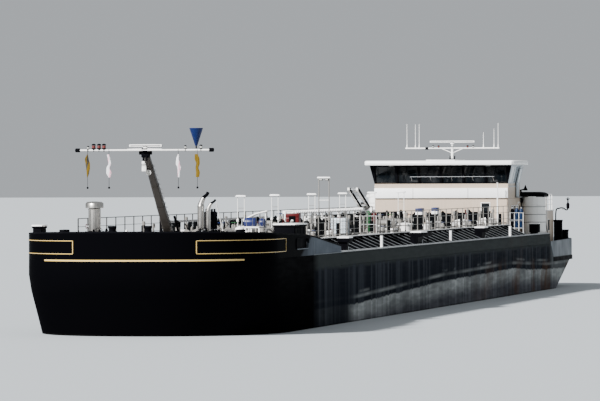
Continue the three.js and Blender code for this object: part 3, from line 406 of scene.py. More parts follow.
# The knees' flange edge is painted lighter grey than their near-black web: a painted highlight.
KNEE_EDGE_HIGHLIGHT = Paint("knee edge paint", (0.09, 0.095, 0.1), (0.05, 0.05, 0.05), 0.5, 0.4, 0.2, 0.1)
WHITE = Paint("white fittings paint", (0.88, 0.87, 0.85), (0.62, 0.58, 0.54), 0.4, 0.35, 0.25)
CREAM = Paint("cream house paint", (0.5, 0.4, 0.31), (0.4, 0.31, 0.23), 0.38, 0.3, 0.18)
BRIGHT = Paint("bright white band paint", (0.98, 0.975, 0.965), (0.88, 0.87, 0.85), 0.3, 0.15, 0.08)
STERN_GREY = Paint("stern grey paint", (0.12, 0.14, 0.16), (0.08, 0.09, 0.1), 0.42, 0.35, 0.35, 0.1)
CABIN_GREY = Paint("cabin side paint", (0.42, 0.46, 0.49), (0.34, 0.37, 0.4), 0.35, 0.25, 0.15, 0.2)
PIPE = Paint("pipe paint", (0.2, 0.19, 0.175), (0.1, 0.085, 0.07), 0.42, 0.5, 0.4)
SPAR = Paint("mast paint", (0.024, 0.021, 0.018), (0.05, 0.045, 0.039), 0.38, 0.5, 0.35, 0.2)
GOLD = Paint("gold line paint", (0.62, 0.42, 0.13), (0.5, 0.36, 0.16), 0.36, 0.3, 0.15, 0.5)
SIGNAL_BLUE = Paint("signal blue paint", (0.003, 0.012, 0.075), (0.01, 0.022, 0.1), 0.4, 0.3, 0.1, 0.2)
FIRE_RED = Paint("fire red paint", (0.07, 0.004, 0.005), (0.1, 0.018, 0.016), 0.4, 0.35, 0.2, 0.2)
NAVY = Paint("dark blue paint", (0.003, 0.014, 0.045), (0.01, 0.027, 0.07), 0.4, 0.35, 0.2, 0.2)
DRUM_GREEN = Paint("drum green paint", (0.012, 0.065, 0.022), (0.03, 0.1, 0.045), 0.4, 0.35, 0.2, 0.2)
STEEL = Metal("brushed stainless", (0.5, 0.48, 0.45), 0.3, (1, 1, 0.04))
GALVANISED = Metal("galvanised steel", (0.42, 0.43, 0.44), 0.45)
BRONZE = Metal("cast propeller bronze", (0.5, 0.33, 0.13), 0.32)
BLUE_DRUM = Moulded("blue moulded plastic", (0.002, 0.007, 0.065), (0.008, 0.018, 0.1), ribs=14)
TOTE = Moulded("milky tote plastic", (0.5, 0.58, 0.64), (0.72, 0.77, 0.8), ribs=9, roughness=0.35)
DARK_PLASTIC = Moulded("dark console plastic", (0.02, 0.021, 0.023), (0.05, 0.05, 0.05))
LAMP_RED = Moulded("red lamp plastic", (0.11, 0.01, 0.008), (0.2, 0.03, 0.02), roughness=0.3)
YELLOW_CLOTH = Bunting("yellow bunting", (0.11, 0.066, 0.001), (0.16, 0.1, 0.006))
BLACK_CLOTH = Bunting("black bunting", (0.015, 0.014, 0.013), (0.05, 0.048, 0.045))
PALE_CLOTH = Bunting("white bunting", (0.78, 0.77, 0.78), (0.6, 0.6, 0.64))
PINK_CLOTH = Bunting("pink bunting", (0.62, 0.3, 0.38), (0.72, 0.5, 0.56))
WINDOW = Pane("tinted window glass", (0.004, 0.006, 0.008), 0.18)
# The side panes are pale blue-grey and almost opaque: a painted sky reflection in the side glass.
SIDE_PANE_SKY_REFLECTION = Pane("blue-grey side window", (0.38, 0.42, 0.45), 0.05)
LENS = Pane("lamp lens", (0.7, 0.7, 0.66), 0.5)


# The bodies, the slots and the sides


class Body(Enum):
    """The bodies that move on their own."""

    VESSEL = "vessel"
    FOREMAST = "foremast"
    FORE_SCANNER = "foremast_scanner"
    CRANE = "hose_crane"
    DOOR_PORT = "door_port"
    DOOR_STARBOARD = "door_starboard"
    ROOF_MAST = "roof_mast"
    ROOF_SCANNER = "roof_scanner"
    PROPELLER = "propeller"
    RUDDER_PORT = "rudder_port"
    RUDDER_STARBOARD = "rudder_starboard"
    DAVIT = "stern_davit"


class Slot(Enum):
    """The record's material slots."""

    HULL = "hull_black"
    STERN = "stern_grey"
    DECK = "deck_paint"
    RAIL = "rail_white"
    GEAR = "gear_black"
    STAINLESS = "stainless"
    MAST = "mast_brown"
    HOUSE = "house_white"
    SIGNAL = "signal_blue"
    FLAG = "flag_cloth"
    PIPE = "pipe_grey"
    DRUM_BLUE = "drum_blue"
    DRUM_MIXED = "drum_mixed"
    RED = "fire_red"
    TOTE = "tote_blue"
    GLASS = "dark_glass"
    HELM = "helm_black"
    BRONZE = "bronze"


class Hand(Enum):
    """A side of the ship."""

    PORT = 1
    STARBOARD = -1

    @property
    def word(self) -> str:
        """The side's name, as it stands in node names."""
        return self.name.lower()


class Axis(Enum):
    """The ship's axes, by their place in a spot."""

    AFT = 0
    PORT = 1
    UP = 2


LENGTHWISE, ACROSS, UPRIGHT = (1, 0, 0), (0, 1, 0), (0, 0, 1)
CENTRE = (0, 0, 0)


# Mesh work


Caps = tuple[Finish, Finish] | None


def circle(count: int, radius: float, start: float = 0.0) -> list[Pair]:
    """Spread places evenly on a circle, as pairs about its middle."""
    turns = [start + 2 * math.pi * k / count for k in range(count)]
    return [(radius * math.cos(turn), radius * math.sin(turn)) for turn in turns]


def square_to(along: Spot) -> tuple[Vector, Vector, Vector]:
    """Give a direction aft, to port and up in the shared frame, with two directions square to it."""
    way = Vector((-along[0], along[1], along[2])).normalized()
    normal = way.orthogonal().normalized()
    return way, normal, way.cross(normal)


def hoop(centre: Vector, normal: Vector, other: Vector, radius: float, sides: int) -> list[Vector]:
    """Give a circle of places in the shared frame, with its radius in millimetres."""
    return [centre + (normal * a + other * b) / 1000 for a, b in circle(sides, radius)]


class Shape:
    """One piece in the making: bodies are added in millimetres, each with its finish, and become one mesh."""

    def __init__(self, name: str, origin: Spot = CENTRE) -> None:
        """Start an empty piece whose places are measured from an origin."""
        self.name = name
        self.origin = origin
        self.mesh = bmesh.new()
        self.finishes: list[Finish] = []

    def at(self, spot: Spot) -> Vector:
        """Turn a place measured from the origin into metres of the shared frame."""
        return at(*(start + step for start, step in zip(self.origin, spot)))

    def dress_faces(self, faces: Iterable[bmesh.types.BMFace], finish: Finish) -> None:
        """Give faces the index of their finish."""
        if finish not in self.finishes:
            self.finishes.append(finish)
        index = self.finishes.index(finish)
        for face in faces:
            face.material_index = index
            face.smooth = True

    def _skin(self, rings: Sequence[Sequence[Vector]], finish: Finish, closed: bool = False) -> list:
        """Join rings of equal count into a skin.

        Args:
            rings: The rings, in order.
            finish: What the skin is made of.
            closed: Whether the last ring joins the first.

        Returns:
            The rings' new vertices.
        """
        rows = [[self.mesh.verts.new(point) for point in ring] for ring in rings]
        pairs = list(zip(rows, rows[1:])) + ([(rows[-1], rows[0])] if closed else [])
        faces = []
        for low, high in pairs:
            for i in range(len(low)):
                j = (i + 1) % len(low)
                faces.append(self.mesh.faces.new((low[i], low[j], high[j], high[i])))
        self.dress_faces(faces, finish)
        return rows

    def _solid(self, rings: Sequence[Sequence[Vector]], finish: Finish, caps: Caps = None) -> "Shape":
        """Join rings into a body that is closed at both ends, with caps of their own finish where given."""
        rows = self._skin(rings, finish)
        for row, cap in zip((rows[0][::-1], rows[-1]), caps or (finish, finish)):
            self.dress_faces([self.mesh.faces.new(row)], cap)
        return self

    def loft(self, rings: Sequence[Sequence[Spot]], finish: Finish, caps: Caps = None) -> "Shape":
        """Add a body through flat rings, closed at both ends.

        Args:
            rings: Rings of places with the same count.
            finish: The skin's finish.
            caps: Finishes of the first and last end, where they differ.

        Returns:
            This piece.
        """
        return self._solid([[self.at(spot) for spot in ring] for ring in rings], finish, caps)

    def prism(
        self, outline: Sequence[Pair], axis: Axis, ends: Sequence[float], finish: Finish, caps: Caps = None
    ) -> "Shape":
        """Add a body that keeps one outline along an axis.

        Args:
            outline: Its corners on the other two axes, in their order.
            axis: The axis that it runs along.
            ends: Places on that axis, from its first end to its last.
            finish: The skin's finish.
            caps: Finishes of the two ends, where they differ.

        Returns:
            This piece.
        """
        cut = axis.value
        return self.loft([[(*pair[:cut], end, *pair[cut:]) for pair in outline] for end in ends], finish, caps)

    def wall(self, outer: Sequence[Pair], inner: Sequence[Pair], heights: Sequence[Pair], finish: Finish) -> "Shape":
        """Add a standing wall between two lines.

        Args:
            outer: Its outer line, as pairs of distance aft and to port.
            inner: Its inner line, with the same count.
            heights: The foot and the top of each pair.
            finish: What it's made of.

        Returns:
            This piece.
        """
        rings = []
        for out, inside, (low, high) in zip(outer, inner, heights):
            rings.append(((*out, low), (*out, high), (*inside, high), (*inside, low)))
        return self.loft(rings, finish)

    def repaint(self, finish: Finish, low: Spot, high: Spot) -> "Shape":
        """Give another finish to the faces whose middle lies between two corners."""
        a, b = self.at(low), self.at(high)
        inside = [
            face
            for face in self.mesh.faces
            if all(min(p, q) <= c <= max(p, q) for p, q, c in zip(a, b, face.calc_center_median()))
        ]
        self.dress_faces(inside, finish)
        return self

    def box(self, low: Spot, high: Spot, finish: Finish, round_off: float = 0.0, steps: int = 1) -> "Shape":
        """Add a block between two corners.

        Args:
            low: One corner.
            high: The opposite corner.
            finish: What it's made of.
            round_off: Width of the bevel along its edges, in millimetres.
            steps: Facets of the bevel.

        Returns:
            This piece.
        """
        a, b = self.at(low), self.at(high)
        made = bmesh.ops.create_cube(self.mesh, size=1)["verts"]
        bmesh.ops.scale(self.mesh, vec=[max(abs(q - p), 1e-5) for p, q in zip(a, b)], verts=made)
        bmesh.ops.translate(self.mesh, vec=(a + b) / 2, verts=made)
        self.dress_faces({face for vert in made for face in vert.link_faces}, finish)
        if round_off:
            edges = list({edge for vert in made for edge in vert.link_edges})
            size = {"offset": round_off / 1000, "segments": steps, "profile": 0.5}
            bevel = bmesh.ops.bevel(self.mesh, geom=edges, affect="EDGES", **size)
            self.dress_faces(bevel["faces"], finish)
        return self

    def tube(self, line: Sequence[Spot], radius: float | Sequence[float], finish: Finish, sides: int = 10) -> "Shape":
        """Add a round bar or pipe along a line.

        Args:
            line: The places that its centre passes.
            radius: One radius, or one for each place.
            finish: What it's made of.
            sides: Facets around it.

        Returns:
            This piece.
        """
        spine = [self.at(place) for place in line]
        radii = radius if isinstance(radius, Sequence) else [radius] * len(spine)
        normal, rings = (spine[1] - spine[0]).orthogonal(), []
        for i, (centre, size) in enumerate(zip(spine, radii)):
            run = (spine[min(i + 1, len(spine) - 1)] - spine[max(i - 1, 0)]).normalized()
            normal = (normal - run * normal.dot(run)).normalized()
            rings.append(hoop(centre, normal, run.cross(normal), max(size, 0.05), sides))
        return self._solid(rings, finish)

    def turned(
        self, foot: Spot, profile: Sequence[Pair], finish: Finish, sides: int = 24, along: Spot = UPRIGHT
    ) -> "Shape":
        """Add a turned body.

        Args:
            foot: Where its axis starts.
            profile: Radius and distance along the axis, from the foot up.
            finish: What it's made of.
            sides: Facets around it.
            along: The axis, as a direction aft, to port and up.

        Returns:
            This piece.
        """
        way, normal, other = square_to(along)
        rings = []
        for radius, height in profile:
            rings.append(hoop(self.at(foot) + way * (height / 1000), normal, other, max(radius, 0.02), sides))
        return self._solid(rings, finish)

    def ring(
        self, centre: Spot, radius: float, thick: float, finish: Finish, along: Spot = UPRIGHT, sides: int = 20
    ) -> "Shape":
        """Add a round hoop, such as a handwheel's rim.

        Args:
            centre: Its middle.
            radius: Radius of its centre line.
            thick: Radius of its bar.
            finish: What it's made of.
            along: The way its hole faces.
            sides: Facets around the hoop.

        Returns:
            This piece.
        """
        way, normal, other = square_to(along)
        rings = []
        for a, b in circle(sides, 1):
            out = normal * a + other * b
            rings.append(hoop(self.at(centre) + out * radius / 1000, out, way, thick, 4))
        self._skin(rings, finish, closed=True)
        return self

    def mirrored(self) -> "Shape":
        """Turn the piece into its mirror image on the other side of the ship."""
        bmesh.ops.scale(self.mesh, vec=(1, -1, 1), verts=self.mesh.verts)
        bmesh.ops.reverse_faces(self.mesh, faces=self.mesh.faces)
        return self

    def without(self, tools: Sequence["Shape"]) -> "Shape":
        """Cut other shapes out of this one.

        Args:
            tools: The bodies to cut out, which are used up.

        Returns:
            This piece.
        """
        self._settle()
        whole = self._as_object()
        for tool in tools:
            tool._settle()
            cutter = tool._as_object()
            cut = whole.modifiers.new("cut", "BOOLEAN")
            cut.operation, cut.solver, cut.object = "DIFFERENCE", "EXACT", cutter
            result = bpy.data.meshes.new_from_object(whole.evaluated_get(bpy.context.evaluated_depsgraph_get()))
            whole.modifiers.clear()
            whole.data = result
            bpy.data.objects.remove(cutter)
        self.mesh = bmesh.new()
        self.mesh.from_mesh(whole.data)
        bpy.data.objects.remove(whole)
        for face in self.mesh.faces:
            face.material_index = min(face.material_index, len(self.finishes) - 1)
        return self

    def _settle(self) -> None:
        """Turn every closed body's faces outwards."""
        bmesh.ops.recalc_face_normals(self.mesh, faces=self.mesh.faces)

    def _as_object(self) -> bpy.types.Object:
        """Make a Blender object of the piece and link it to the scene."""
        data = bpy.data.meshes.new(self.name)
        self.mesh.to_mesh(data)
        self.mesh.free()
        for finish in self.finishes:
            data.materials.append(finish.material())
        made = bpy.data.objects.new(self.name, data)
        bpy.context.scene.collection.objects.link(made)
        return made

    def finish_off(self, slot: Slot, *nodes: str, body: Body = Body.VESSEL) -> bpy.types.Object:
        """Make the piece, with its creases, materials, body and the solids that it stands for.

        Args:
            slot: The record's material slot; not used.
            nodes: The CAD nodes that it replaces.
            body: The moving body that it rides on.

        Returns:
            The Blender object.
        """
        self._settle()
        for edge in self.mesh.edges:
            edge.smooth = len(edge.link_faces) == 2 and edge.calc_face_angle(0) < SHARP
        made = self._as_object()
        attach(made, body.value)
        if nodes:
            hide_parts(*nodes)
        LOG.info("%s: %d faces on %s", self.name, len(made.data.polygons), body.value)
        return made


def build_both(make: Callable[[], Shape], slot: Slot, stem: str, bodies: Sequence[Body] = (Body.VESSEL,) * 2) -> None:
    """Build the same piece for both sides of the ship, the second one mirrored.

    Args:
        make: Makes the port piece.
        slot: The material slot of both.
        stem: The CAD nodes' name without the side.
        bodies: The bodies of the port and the starboard piece.
    """
    for hand, body in zip(Hand, bodies):
        shape = make() if hand is Hand.PORT else make().mirrored()
        shape.name = f"{shape.name}_{hand.word}"
        shape.finish_off(slot, f"{stem}_{hand.word}", body=body)


# The shell's outlines


LENGTH = 11000
HALF_BEAM = 572.5
AFT_DECK = 400
MAIN_DECK = 545
UPPER_DECK = 610
SIDE_DECK_TOP = 549
HOUSE_HALF = 414
SEAT = 0.3
ON_DECK = UPPER_DECK + SEAT
ON_AFT_DECK = AFT_DECK + SEAT
BOW_FULLNESS = 0.87
SIDES = (-1, 1)


@dataclass(frozen=True)
class Level:
    """The shell's flat outline at one height."""

    up: float
    stem: float
    bow: float
    half: float
    stern: float
    corner: float

    def bow_side(self, inset: float = 0.0, steps: int = 34) -> list[Pair]:
        """Follow the port half of the bow from the stem to the full breadth, as distance aft and half breadth."""
        half, line = self.half - inset, []
        for step in range(steps + 1):
            angle = step / steps * math.pi / 2
            run = (self.bow - inset) * (1 - max(0.0, math.cos(angle)) ** BOW_FULLNESS)
            line.append((self.stem + inset + run, half * math.sin(angle) ** BOW_FULLNESS))
        return line

    def stern_side(self, inset: float = 0.0, steps: int = 14) -> list[Pair]:
        """Follow the port quarter from the straight side to the stern's flat."""
        half, line = self.half - inset, []
        for step in range(steps + 1):
            angle = step / steps * math.pi / 2
            aft = self.stern - inset - self.corner * (1 - math.sin(angle))
            line.append((aft, half - self.corner * (1 - math.cos(angle))))
        return line

    def ring(self) -> list[Spot]:
        """Give the whole outline as a ring of places."""
        return [(aft, port, self.up) for aft, port in both_sides(self.bow_side() + self.stern_side())]


def both_sides(port: Sequence[Pair]) -> list[Pair]:
    """Join a port line, which starts on the centreline, to its mirror image, from starboard to port."""
    return [(aft, -half) for aft, half in port[:0:-1]] + list(port)


HULL_LEVELS = [
    Level(0, 450, 930, 512, 9050, 470),
    Level(18, 400, 910, 548, 9190, 475),
    Level(60, 300, 870, HALF_BEAM, 9420, 480),
    Level(200, 190, 765, HALF_BEAM, 10250, 480),
    Level(AFT_DECK, 55, 645, HALF_BEAM, LENGTH, 480),
]
DECK_LEVELS = [
    Level(AFT_DECK, 55, 645, HALF_BEAM, 9690, 2),
    Level(475, 4, 650, HALF_BEAM, 9560, 2),
    Level(MAIN_DECK, 0, 660, HALF_BEAM, 9540, 2),
]


# Small parts that come back in many places


def add_bolts(shape: Shape, centre: Spot, radius: float, count: int, size: float, height: float) -> None:
    """Set a circle of upright bolt heads on a flange."""
    for aft, port in circle(count, radius, math.pi / count):
        foot = (centre[0] + aft, centre[1] + port, centre[2])
        shape.turned(foot, [(size, 0), (size, height)], GALVANISED, 6)


def add_flange(shape: Shape, centre: Spot, radius: float, along: Spot, bolts: int = 8) -> None:
    """Set a pair of pipe flanges with their bolts around a pipe.

    Args:
        shape: The piece that gets them.
        centre: The middle of the pair, on the pipe's axis.
        radius: The flanges' radius.
        along: The pipe's direction.
        bolts: Bolts around the pair.
    """
    middle, run, neck = Vector(centre), Vector(along), radius - 2
    profile = [(radius, 0), (radius, 2.9), (neck, 3), (neck, 3.8), (radius, 3.9), (radius, 6.8)]
    shape.turned(tuple(middle - run * 3.4), profile, PIPE, 20, along)
    side = run.orthogonal().normalized()
    other = run.cross(side)
    for a, b in circle(bolts, radius - 3.4):
        shape.turned(tuple(middle - run * 5 + side * a + other * b), [(1.1, 0), (1.1, 10)], GALVANISED, 6, along)


def add_wheel_valve(shape: Shape, foot: Spot, size: float, rim: Finish) -> None:
    """Set a valve body with a stem and a level handwheel on a pipe.

    Args:
        shape: The piece that gets it.
        foot: Where the valve stands on the pipe's axis.
        size: Radius of its body.
        rim: Paint of the wheel.
    """
    body = [(0.7, -1), (1.1, -0.5), (1.1, 0.6), (0.55, 1.1), (0.95, 1.15), (0.95, 1.4)]
    body += [(0.45, 1.5), (0.35, 2.2), (0.16, 2.3), (0.16, 3.1)]
    shape.turned(foot, [(size * r, size * up) for r, up in body], PIPE, 14)
    aft, port, top = foot[0], foot[1], foot[2] + size * 2.9
    shape.ring((aft, port, top), size * 1.15, size * 0.13, rim, sides=16)
    for a, b in circle(4, size * 1.15, 0.3):
        shape.tube([(aft, port, top), (aft + a, port + b, top)], size * 0.09, rim, 5)


def add_lamp(shape: Shape, foot: Spot, radius: float, height: float, lens: Finish) -> None:
    """Set an upright signal lamp: base, ribbed lens and lid."""
    base = [(0.7, 0), (0.7, 0.12), (1, 0.14), (1, 0.26)]
    ribs = [(0.8 if k % 2 else 0.86, 0.27 + 0.045 * k) for k in range(10)]
    lid = [(0.95, 0.7), (1, 0.72), (1, 0.84), (0.6, 0.96), (0.2, 1)]
    for profile, finish in ((base, BLACK), (ribs, lens), (lid, BLACK)):
        shape.turned(foot, [(radius * r, height * up) for r, up in profile], finish, 16)


# Hull and decks


@dataclass
class Hull:
    """The shell from the flat bottom to the deck's edge, with skeg, boss, tunnel and rudder box."""

    shaft_up: float = 92
    skeg_start: float = 9000
    skeg_end: float = 10120
    skeg_half: float = 16
    skeg_top: float = 250
    anodes: tuple[float, ...] = (9200, 9420, 9640)
    step: Pair = (9500, 9737.7)
    boss_length: float = 420
    tunnel: tuple[float, ...] = (9300, 10560, 104, 50, 125)
    rudder_box: tuple[Spot, Spot] = ((10330, -75, 175), (10520, 75, 300))
    rubbing_up: float = 482

    def lower_shell(self) -> Shape:
        """Loft the shell up to the aft deck and cut the propeller's tunnel out of it."""
        shell = Shape("hull_shell")
        shell.loft([level.ring() for level in HULL_LEVELS], SHELL, (SHELL, DECK))
        shell.box(*self.rudder_box, SHELL, 4)
        start, end, end_up, near, far = self.tunnel
        run = math.hypot(end - start, end_up)
        hollow = Shape("tunnel").turned((start, 0, 0), [(near, 0), (far, run)], SHELL, 40, (end - start, 0, end_up))
        return shell.without([hollow])

    def add_skeg(self, shell: Shape) -> None:
        """Add the skeg, the shaft's boss and the anodes."""
        start, end, half, top = self.skeg_start, self.skeg_end, self.skeg_half, self.skeg_top
        stations = ((start - 60, 2, 3), (start + 40, 2, half), (end - 260, 2, half), (end, 60, half * 0.6))
        rings = [[(aft, -y, low), (aft, y, low), (aft, y, top), (aft, -y, top)] for aft, low, y in stations]
        shell.loft(rings, SHELL)
        boss = [(6, -60), (20, 0), (22, 60), (20, self.boss_length - 60), (16, self.boss_length)]
        shell.turned((end - self.boss_length, 0, self.shaft_up), boss, SHELL, 28, LENGTHWISE)
        for aft in self.anodes:
            for side in SIDES:
                shell.box((aft, side * (half - 1), 60), (aft + 70, side * (half + 3), 76), GALVANISED, 2)

    def add_upper_shell(self, shell: Shape) -> None:
        """Add the shell above the aft deck, the house's step and the rubbing bars."""
        shell.loft([level.ring() for level in DECK_LEVELS], SHELL, (SHELL, DECK))
        (start, end), half = self.step, HOUSE_HALF
        step = [(start, -half), (start, half), (end, half), (end, -half)]
        shell.prism(step, Axis.UP, (AFT_DECK - 1, MAIN_DECK), CREAM)
        for side in SIDES:
            y = side * HALF_BEAM
            for up, bar, last in ((self.rubbing_up, 2.6, 9560), (MAIN_DECK - 1.5, 3.4, 9530)):
                shell.tube([(aft, y, up) for aft in (2240, 4000, 7000, last)], bar, SHELL, 10)

    def build(self) -> None:
        """Build the whole hull as one piece."""
        shell = self.lower_shell()
        self.add_skeg(shell)
        self.add_upper_shell(shell)
        shell.finish_off(Slot.HULL, "hull")


@dataclass
class BowBulwark:
    """The wall round the bow with its cap rail, gold line, blank boards, knuckle and stays."""

    top_line: tuple[Pair, ...] = ((0, 670), (1300, 643), (1560, 629), (2230, 578))
    wall: float = 8
    fairlead: tuple[float, ...] = (1060, 1370, 604, 24)
    gold_line: Pair = (541, 548)
    gold_ends: dict[Hand, float] = field(default_factory=lambda: {Hand.PORT: 262, Hand.STARBOARD: 160})
    board_starts: dict[Hand, float] = field(default_factory=lambda: {Hand.PORT: 72, Hand.STARBOARD: 44})
    board: Spot = (810, 573, 634)
    frame: float = 2.6
    proud: float = 1.4
    stays: tuple[float, ...] = (900, 1480, 1640, 1800, 1960, 2120)

    def top(self, aft: float) -> float:
        """Give the wall's height at a distance aft."""
        for (start, low), (end, high) in zip(self.top_line, self.top_line[1:]):
            if aft <= end:
                return mix_numbers(low, high, (aft - start) / (end - start))
        return self.top_line[-1][1]

    def side_line(self, inset: float) -> list[Pair]:
        """Follow the port side from the stem to the wall's end."""
        straight = [900, 1150, *(station for station, _ in self.top_line[1:])]
        return DECK_LEVELS[2].bow_side(inset) + [(aft, HALF_BEAM - inset) for aft in straight]

    def add_wall(self) -> Shape:
        """Raise the wall and cut the two oval mooring holes."""
        outer, inner = both_sides(self.side_line(0)), both_sides(self.side_line(self.wall))
        heights = [(MAIN_DECK + SEAT, self.top(aft)) for aft, _ in outer]
        wall = Shape("bow_wall").wall(outer, inner, heights, BOW_SHELL)
        tools = []
        for hand in Hand:
            ends = [hand.value * port for port in (550, 590)]
            tools.append(Shape("hole").prism(self.oval(), Axis.PORT, ends, BLACK))
        return wall.without(tools)

    def oval(self, grow: float = 0.0) -> list[Pair]:
        """Give the mooring hole's outline as pairs of distance aft and height."""
        start, end, up, radius = self.fairlead
        radius += grow
        line = []
        for ahead, rise in circle(28, radius):
            line.append(((end - radius if ahead > 0 else start + radius) + ahead, up + rise))
        return line

    def strip(self, start: float, end: float) -> tuple[list[Pair], list[Pair]]:
        """Give the outer and inner line of a strip on the port side's plating."""
        fine = [DECK_LEVELS[2].bow_side(inset, 90) + [(self.board[0], HALF_BEAM - inset)] for inset in (-self.proud, 1)]
        kept = [i for i, (aft, _) in enumerate(fine[0]) if start - 3 <= aft <= end + 3]
        return [fine[0][i] for i in kept], [fine[1][i] for i in kept]

    def add_gold(self, wall: Shape) -> None:
        """Lay the gold line round the bow and frame a blank board on each side of it."""
        port, starboard = (self.strip(-9, self.gold_ends[hand]) for hand in Hand)
        outer, inner = ([(aft, -half) for aft, half in left[:0:-1]] + right for left, right in zip(starboard, port))
        wall.wall(outer, inner, [self.gold_line] * len(outer), GOLD)
        end, low, high = self.board
        for hand in Hand:
            strip = self.strip(self.board_starts[hand], end)
            lines = outer, inner = [[(aft, hand.value * side) for aft, side in line] for line in strip]
            for bottom, top in ((low, low + self.frame), (high - self.frame, high)):
                wall.wall(outer, inner, [(bottom, top)] * len(outer), GOLD)
            for first, second in ((0, 1), (-1, -2)):
                share = self.frame * 1.3 / math.dist(outer[first], outer[second])
                ends = [[line[first], Vector(line[first]).lerp(Vector(line[second]), share)] for line in lines]
                wall.wall(*ends, [(low, high)] * 2, GOLD)

    def add_trim(self, wall: Shape) -> None:
        """Add the cap rail, the mooring holes' rims, the knuckle, one butt seam and the stays inside. Black plates just
        inside the holes are painted shade, and the rims' grey lower after lip is a painted highlight.
        """
        cap = both_sides(self.side_line(self.wall / 2))
        wall.tube([(aft, port, self.top(aft)) for aft, port in cap], 5.2, BLACK, 10)
        start, end, up, _ = self.fairlead
        middle = (start + end) / 2
        for side in (1, -1):
            y, inside = side * HALF_BEAM, side * (HALF_BEAM - self.wall + 1)
            # Painted shade: black plates just inside each mooring hole make the hole look shaded.
            for low, high in ((start - 14, middle), (middle, end + 14)):
                wall.box((low, side * 549, up - 26), (high, side * 563, up + 28), BLACK, 1)
            rim = [(aft, side * (HALF_BEAM + 1), z) for aft, z in self.oval(1)]
            # The rim is black over most of its round and grey along its lower after lip: a painted highlight on that
            # edge.
            wall.tube(rim[:20], 2.4, BLACK, 8)
            wall.tube([*rim[19:], rim[0]], 2.6, STERN_GREY, 8)
            wall.tube([(aft, y, MAIN_DECK + 2) for aft in (1500, 1740, 1980, 2230)], 2.4, STERN_GREY, 8)
            wall.box((1497, y - side * 2, 552), (1503, y + side * 1.4, 628), STERN_GREY, 0.6)
            for aft in self.stays:
                top = self.top(aft) - 8
                foot, reach = (UPPER_DECK + 1, 24) if aft < 1500 else (UPPER_DECK - 60, 30)
                web = [(inside, foot), (inside, top), (inside - side * 6, top), (inside - side * reach, foot)]
                wall.prism(web, Axis.AFT, (aft, aft + 3), BOW_SHELL)

    def build(self) -> None:
        """Build the bulwark as one piece."""
        wall = self.add_wall()
        self.add_gold(wall)
        self.add_trim(wall)
        wall.finish_off(Slot.HULL, "bow_bulwark")


@dataclass
class SternBulwark:
    """The low grey wall round the stern with its cap, belt and stays."""

    start: float = 9697
    lean: float = 127
    low_top: float = 494
    high_top: float = 505
    wall: float = 8
    belt: Pair = (372, 397)

    def top(self, aft: float) -> float:
        """Give the wall's height at a distance aft."""
        return mix_numbers(self.low_top, self.high_top, (aft - self.start) / (LENGTH - self.start))

    def line(self, inset: float) -> list[Pair]:
        """Follow the stern from port to starboard."""
        port = [(self.start, HALF_BEAM - inset), *HULL_LEVELS[-1].stern_side(inset), (LENGTH - inset, 0)]
        return port + [(aft, -half) for aft, half in port[-2::-1]]

    def crown(self, aft: float, port: float) -> Spot:
        """Give the top above a place at the wall's foot; the wall's forward ends lean."""
        return (aft - (self.lean if aft <= self.start else 0), port, self.top(aft))

    def build(self) -> None:
        """Build the wall as one piece."""
        wall = Shape("stern_wall")
        rings = []
        for out, inside in zip(self.line(0), self.line(self.wall)):
            top, inner_top = self.crown(*out), self.crown(*inside)
            shift = inside[0] - (0 if top[0] == out[0] else self.lean)
            rings.append(((*out, ON_AFT_DECK), top, (shift, inner_top[1], top[2]), (*inside, ON_AFT_DECK)))
        wall.loft(rings, STERN_GREY)
        wall.tube([self.crown(*place) for place in self.line(self.wall / 2)], 4.6, STERN_GREY, 10)
        belt_out, belt_in = self.line(-3.5), self.line(2)
        wall.wall(belt_out, belt_in, [self.belt] * len(belt_out), BLACK)
        for aft in range(9800, 10500, 175):
            for side in SIDES:
                y = side * (HALF_BEAM - self.wall + 1)
                web = [(y, 400.5), (y, 484), (y - side * 6, 484), (y - side * 34, 400.5)]
                wall.prism(web, Axis.AFT, (aft, aft + 3), STERN_GREY)
        wall.finish_off(Slot.STERN, "stern_bulwark")


